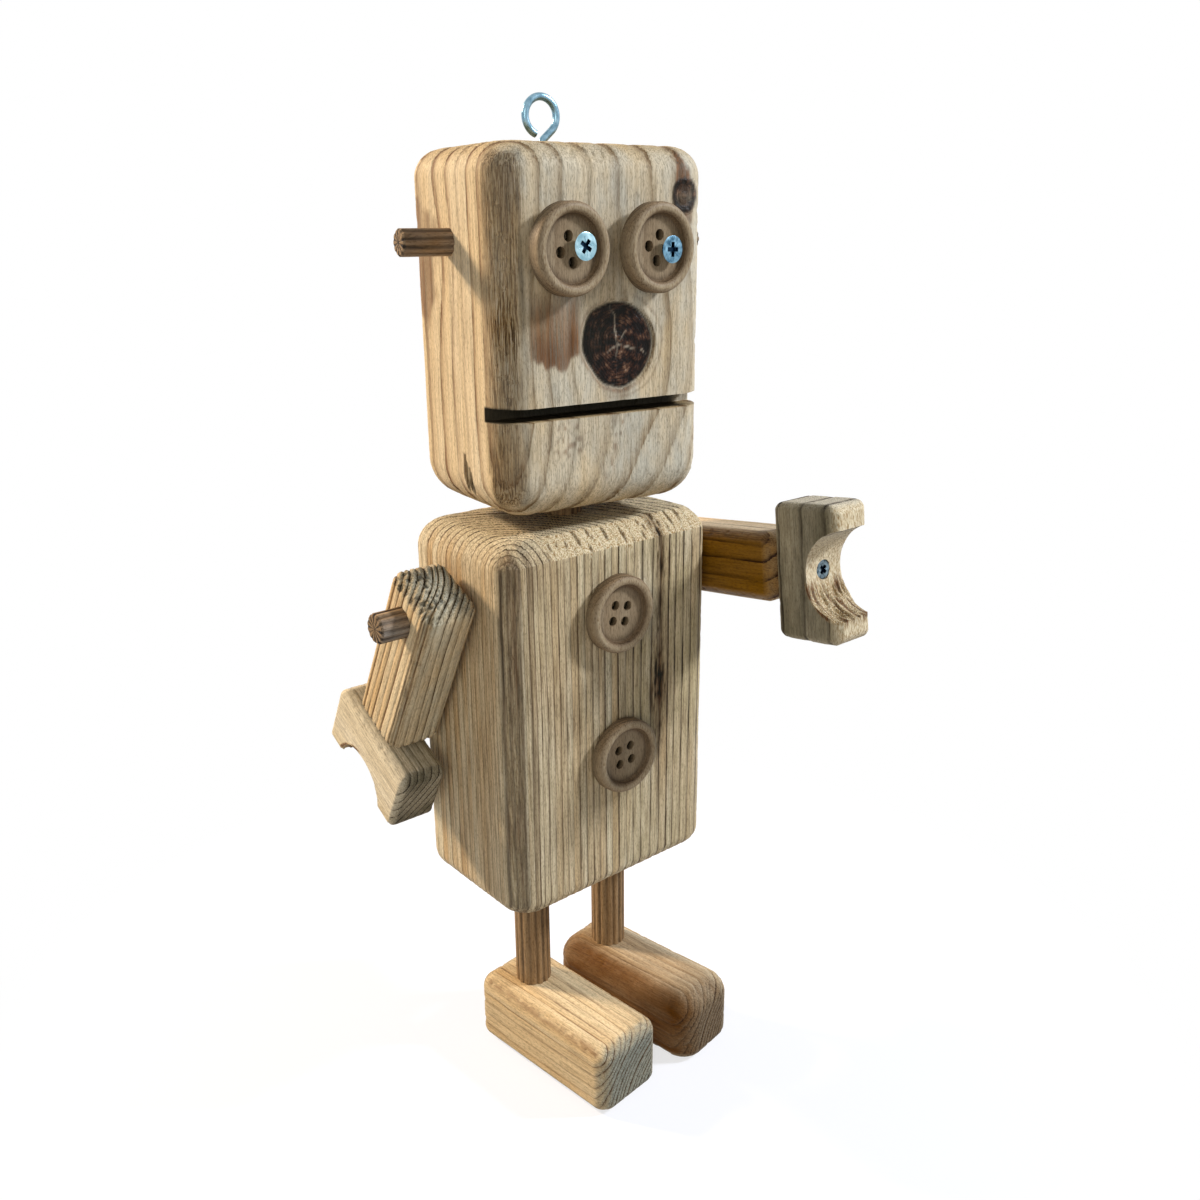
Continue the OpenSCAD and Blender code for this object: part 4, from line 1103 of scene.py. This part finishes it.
def turned_wood_button(name, height, turn, first_hole, place, body, node, seed):
    """Profile: flat back, chamfer, wall, half circle for the rim, slope, and a floor that sinks by 0.25 mm to the
    middle. The lathe tool leaves a sine wave of 0.9 mm across it, and noise makes it uneven."""
    r, rim_z, floor_z = BUTTON_D / 2, height - RIM_R, height - DISH
    bend = np.linspace(0, math.pi, 24)
    rim = np.stack([r - RIM_R + RIM_R * np.cos(bend), rim_z + RIM_R * np.sin(bend)], -1)
    inner = r - 2 * RIM_R - SLOPE
    floor_r = np.linspace(inner, 0.4, 22)
    floor = np.stack([floor_r, floor_z - FLOOR_SINK * (1 - (floor_r / inner) ** 2)], -1)
    back = [(x, 0) for x in np.linspace(0.5, r - BACK_CHAMFER, 12)]
    wall = [(r, z) for z in np.linspace(BACK_CHAMFER, rim_z, 8)[:-1]]
    grid = turned_grid(np.vstack([back, wall, rim, floor]), BUTTON_COLUMNS)
    tool = np.sin(2 * math.pi * np.hypot(grid[..., 0], grid[..., 1]) / TOOL_STEP)
    depth = TOOL_DEPTH * (0.5 + 0.5 * tool) + UNEVEN * depth_noise(grid, 5, seed)
    piece = piece_of(name, grid - grid_normals(grid) * depth[..., None], place)
    holes = []
    for i in range(4):
        spot = place @ turned("z", turn + 90 * i) @ moved(HOLE_CIRCLE, 0, -BORE_START)
        holes.append(bore(HOLE_R if i else first_hole, height + 2 * BORE_START, spot))
    cut(piece, holes)

    def button_marks(points, normals):
        """Painted shade in the holes, in the crease inside the rim and low on the wall, and bare on the rim's
        crest.
        The angle is folded to a quarter turn, so that one hole stands for all four."""
        x, y, z = np.moveaxis(points, -1, 0)
        spin = np.arctan2(y, x) - math.radians(turn)
        spin = (spin + math.pi / 4) % (math.pi / 2) - math.pi / 4
        away = np.hypot(x, y)
        near = np.hypot(away * np.cos(spin) - HOLE_CIRCLE, away * np.sin(spin)) < SCREW_HOLE_R + 0.02
        inside = near * (1 - smooth(z, floor_z - 0.9, floor_z - 0.35))
        crease_shade = bell(away, inner + 0.2, 0.9) * (z < height - 0.5) * (z > 1)
        wall = smooth(away, r - 0.9, r - 0.3) * (1 - smooth(z, 0.8, rim_z + 0.4))
        crest = bell(away, r - RIM_R, 0.6) * smooth(z, height - 0.6, height - 0.2)
        # Painted shade: nearly black in the holes, dark low on the outer wall, and dark and brown in the crease.
        marks = {"dark": np.maximum.reduce([inside, 0.4 * crease_shade, 0.4 * wall]), "stain": 0.3 * crease_shade}
        return {**no_marks(points, normals), **marks, "bare": 0.15 * crest}

    plank = {"axes": [2, 0, 1], "pith": (-40, 6), "ring": (1.7, 0.001), "waver": 0.4, "seed": seed,
             "weather": (0, 0, 0), "marks": button_marks}
    dress(piece, plank, place)
    settle(piece, body, node, "turned_button", turned_button)


EYE_H, CHEST_H = 5.5, 5
EYE_TILT, EYE_LIFT = 6, 0.05
EYE_X, EYE_Z, EYE_TURN = {"right": -15.6, "left": 12.4}, 72.7, {"right": 12, "left": -8}
EYE_SEED, CHEST_SEED = 101, 111
CHEST_BUTTONS = [("upper", -1.7, 93.5, 33), ("lower", 0.2, 46.5, 51)]
eye_y = FACE_Y - (BUTTON_D / 2 - BACK_CHAMFER) * math.sin(math.radians(EYE_TILT)) - EYE_LIFT
on_eye = {}
for seed, (word, x) in enumerate(EYE_X.items(), EYE_SEED):
    on_eye[word] = on_head @ moved(x, eye_y, EYE_Z) @ turned("z", EYE_TILT) @ turned("x", 90)
    turned_wood_button("eye_button_" + word, EYE_H, EYE_TURN[word], SCREW_HOLE_R, on_eye[word],
                       "head", word + "_eye_button", seed)
for seed, (word, x, z, turn) in enumerate(CHEST_BUTTONS, CHEST_SEED):
    chest_place = on_torso @ moved(x, -TORSO_SIZE[1] / 2, z) @ turned("x", 90)
    turned_wood_button("chest_button_" + word, CHEST_H, turn, HOLE_R, chest_place,
                       "torso", word + "_chest_button", seed)

# %% [markdown]
# The screws are countersunk, with a cross recess and four fine ticks between its arms.
# Only their heads show, so the shank is a plain pointed pin, as in the CAD model.
# A recess is cut in by bars, and the vertices below the head's top are marked, so that painted shade lies in it.

# %% Screws
SHANK_R, TIP_R, TIP_LENGTH, DOME = 1.75, 0.15, 5, 0.1
EYE_SCREW_R, EYE_SCREW_LENGTH, HAND_SCREW_LENGTH = 3.6, 22, 32
CROSS_BAR, TICK = (1.15, 3.9, 1.2), (0.28, 5, 0.18)
RECESS_R = 2.6
SCREW_TURN = {"right": 0, "left": 52}
eye_metal = {"right": zinc, "left": grimy_zinc}


def countersunk_screw(name, head_r, length, place, body, node, metal):
    """Profile: point, shank, cone to the head's radius and a domed top, cut by bars for the recess. The bars are
    given for the eye's screw and shortened for a smaller head."""
    top = SCREW_HEAD_H
    dome = [(r, top - DOME * (r / head_r) ** 2) for r in np.linspace(head_r - 0.15, 0.3, 10)]
    rim = [(head_r - 0.05, top - 0.22), (head_r, top - 0.14)]
    profile = [(TIP_R, -length), (SHANK_R, TIP_LENGTH - length), (SHANK_R, 0), *rim, *dome]
    screw = piece_of(name, turned_grid(profile, BORE_COLUMNS), place)
    bars = []
    for turn, (wide, long, deep) in ((45, CROSS_BAR), (135, CROSS_BAR), (0, TICK), (90, TICK)):
        bar = sanded_block((wide, long * head_r / EYE_SCREW_R, deep + 1), (0.1,) * 3, (0.3,) * 4)
        bars.append(piece_of("bar", bar, place @ turned("z", turn) @ moved(0, 0, top - deep)))
    cut(screw, bars)
    x, y, z = points_of(screw.data, place).T
    # The recess mark is painted shade: dark where the recess lies below the head's top.
    keep(screw.data, "recess", (np.hypot(x, y) < RECESS_R) * smooth(-z, 0.12 - top, 0.3 - top) * (z > 0))
    settle(screw, body, node, "zinc_plated_steel", metal)


for word, eye in on_eye.items():
    hole = eye @ turned("z", EYE_TURN[word]) @ moved(HOLE_CIRCLE, 0, EYE_H - DISH) @ turned("z", SCREW_TURN[word])
    countersunk_screw("eye_screw_" + word, EYE_SCREW_R, EYE_SCREW_LENGTH, hole,
                      "head", word + "_eye_screw", eye_metal[word])
for side, word in SIDES.items():
    countersunk_screw("hand_screw_" + word, HAND_SCREW_R, HAND_SCREW_LENGTH, in_grip[side],
                      word + "_arm", word + "_hand_screw", shaded_zinc)

# %% [markdown]
# The screw eye is one length of wire, bent round into a ring and drawn in to its stem, with a thread below.
# Its path is a straight stem, a short bend, a straight side and most of a circle, all in one plane.

# %% Screw eye
RING_R, RING_DROP, RING_GAP, STEM, THREAD, WIRE_R = 5.0, 6.6, 2.6, 1.5, 16.0, 1.05
BEND, THREAD_PITCH, THREAD_DEPTH, THREAD_TOP, THREAD_TIP_R = 1.2, 0.9, 0.2, 1.4, 0.25
SCREW_EYE_X, SCREW_EYE_Y = -3.4, 2
ring_angle = math.acos(RING_R / RING_DROP)
free_angle = math.acos(1 - RING_GAP / RING_R) - ring_angle
sweep = np.linspace(ring_angle - math.pi / 2, 1.5 * math.pi - free_angle, 120)
circle_path = RING_R * np.stack([np.cos(sweep), 0 * sweep, np.sin(sweep)], -1)
foot_point, tangent_point = np.array([0, 0, -RING_DROP]), circle_path[0]
stem_z = np.linspace(-RING_DROP - STEM - THREAD, -RING_DROP - BEND, 60)
stem_path = np.stack([0 * stem_z, 0 * stem_z, stem_z], -1)
t = np.linspace(0, 1, 12)[1:, None]
bend_end = foot_point + BEND * unit(tangent_point - foot_point)
bend_path = (1 - t) ** 2 * stem_path[-1] + 2 * t * (1 - t) * foot_point + t ** 2 * bend_end
s = np.linspace(0, 1, 14)[1:-1, None]
side_path = bend_end + s * (tangent_point - bend_end)
wire_path = np.vstack([stem_path, bend_path, side_path, circle_path])
on_thread = wire_path[:, 2] < -RING_DROP - THREAD_TOP
thread_wave = THREAD_DEPTH * (0.5 + 0.5 * np.cos(2 * math.pi * wire_path[:, 2] / THREAD_PITCH))
wire_radius = WIRE_R - on_thread * thread_wave
wire_radius[0] = THREAD_TIP_R
eye_place = on_head @ moved(SCREW_EYE_X, SCREW_EYE_Y, HEAD_SIZE[2] + STEM + RING_DROP)
screw_eye = piece_of("screw_eye_wire", wire_grid(wire_path, wire_radius, 32), eye_place)
settle(screw_eye, "head", "hanging_screw_eye", "zinc_plated_steel", dull_zinc)

# %% [markdown]
# The light is a studio's, from three lamps. A warm soft box behind the toy's right shoulder gives the golden sides
# and the ear's shadow, a cool one in front, to its left and above, lights the face, and a broad, weak sheet in
# front, to its right, softens the shadows.
# Lamp powers are worked out from how bright a white sheet facing the lamp should be, so colours render as written.

# %% Lamps
scene = bpy.context.scene
scene.view_settings.view_transform = "Standard"
TOY_MIDDLE = np.array([0.0, 0.0, 160.0])
LAMP_FAR = 1400


def soft_box(name, direction, size, brightness, colour):
    """Square lamp of size mm in a direction from the toy. A white sheet facing it at d metres shows
    brightness = power / (pi d)^2."""
    data = bpy.data.lights.new(name, "AREA")
    data.size, data.energy = size * MM, brightness * (math.pi * LAMP_FAR * MM) ** 2
    data.color = linear(colour)[:3]
    backward = unit(np.array(direction, float))
    lamp = bpy.data.objects.new(name, data)
    lamp.matrix_world = aimed(TOY_MIDDLE + LAMP_FAR * backward, backward)
    scene.collection.objects.link(lamp)


soft_box("key_box", (-0.45, 0.73, 0.5), 200, 1.3, "#ffe9cf")
soft_box("fill_box", (0.65, -0.5, 0.58), 170, 1.04, "#eff4ff")
soft_box("bounce_sheet", (-0.75, -0.6, 0.25), 700, 0.24, "#fff6e6")
print("lamps:", len(bpy.data.lights))

# %% [markdown]
# The room lights the toy with a soft cool grey, but the camera and the reflections see it white.
# Light Path tells the two apart, and a mask of its rays is made once, for the room and the floor.

# %% Room
ROOM_LIGHT = "#78808c"
WHITE = (1, 1, 1, 1)


def seen_rays(tree):
    """Mask: the greatest of the camera, glossy and transmission rays, which show a surface and light no other."""
    seen = add(tree, "ShaderNodeLightPath", {}, {}, "Is Camera Ray")
    rays = seen.node.outputs
    for ray in ("Is Glossy Ray", "Is Transmission Ray"):
        seen = add(tree, MATH, {"operation": "MAXIMUM"}, {0: seen, 1: rays[ray]})
    return seen


world = bpy.data.worlds.new("white_room")
world.use_nodes = True
scene.world = world
room = world.node_tree
room.nodes.clear()
tone = add(room, MIX, BLEND, {0: seen_rays(room), 6: linear(ROOM_LIGHT), 7: WHITE}, 2)
sky = add(room, "ShaderNodeBackground", {}, {"Color": tone, "Strength": 1.0})
add(room, "ShaderNodeOutputWorld", {}, {"Surface": sky}, None)
print("the room's light is", ROOM_LIGHT)

# %% [markdown]
# The floor is a sheet of white paper that takes the toy's shadow. To the camera and to reflections it glows, less
# where the toy shades it, and fades into pure white away from the toy. To all other rays it is plain grey paper.

# %% Floor
FLOOR_HALF = 6
FADE_START, FADE_STOP = 0.1, 0.22
PLAIN_PAPER, SEEN_PAPER, PAPER_GLOW = "#a0a0a0", "#9c9ca2", 0.7
floor_material, tree = empty_material("white_paper_floor")
place = add(tree, "ShaderNodeTexCoord", {}, {}, "Object")
away = add(tree, "ShaderNodeVectorMath", {"operation": "LENGTH"}, {0: place}, "Value")
away = add(tree, RANGE, {"interpolation_type": "SMOOTHSTEP"}, {0: away, 1: FADE_START, 2: FADE_STOP})
plain = add(tree, "ShaderNodeBsdfDiffuse", {}, {"Color": linear(PLAIN_PAPER)})
glow = add(tree, "ShaderNodeEmission", {}, {"Color": WHITE, "Strength": PAPER_GLOW})
paper = add(tree, "ShaderNodeBsdfDiffuse", {}, {"Color": linear(SEEN_PAPER)})
near = add(tree, "ShaderNodeAddShader", {}, {0: glow, 1: paper})
white = add(tree, "ShaderNodeEmission", {}, {"Color": WHITE, "Strength": 1.0})
shown = add(tree, "ShaderNodeMixShader", {}, {0: away, 1: near, 2: white})
mixed = add(tree, "ShaderNodeMixShader", {}, {0: seen_rays(tree), 1: plain, 2: shown})
add(tree, "ShaderNodeOutputMaterial", {}, {"Surface": mixed}, None)
corners = [(x * FLOOR_HALF, y * FLOOR_HALF, 0) for x, y in ((-1, -1), (1, -1), (1, 1), (-1, 1))]
floor_mesh = bpy.data.meshes.new("floor")
floor_mesh.from_pydata(corners, [], [(0, 1, 2, 3)])
floor_mesh.materials.append(floor_material)
floor = bpy.data.objects.new("floor", floor_mesh)
scene.collection.objects.link(floor)
print("floor of", 2 * FLOOR_HALF, "m")
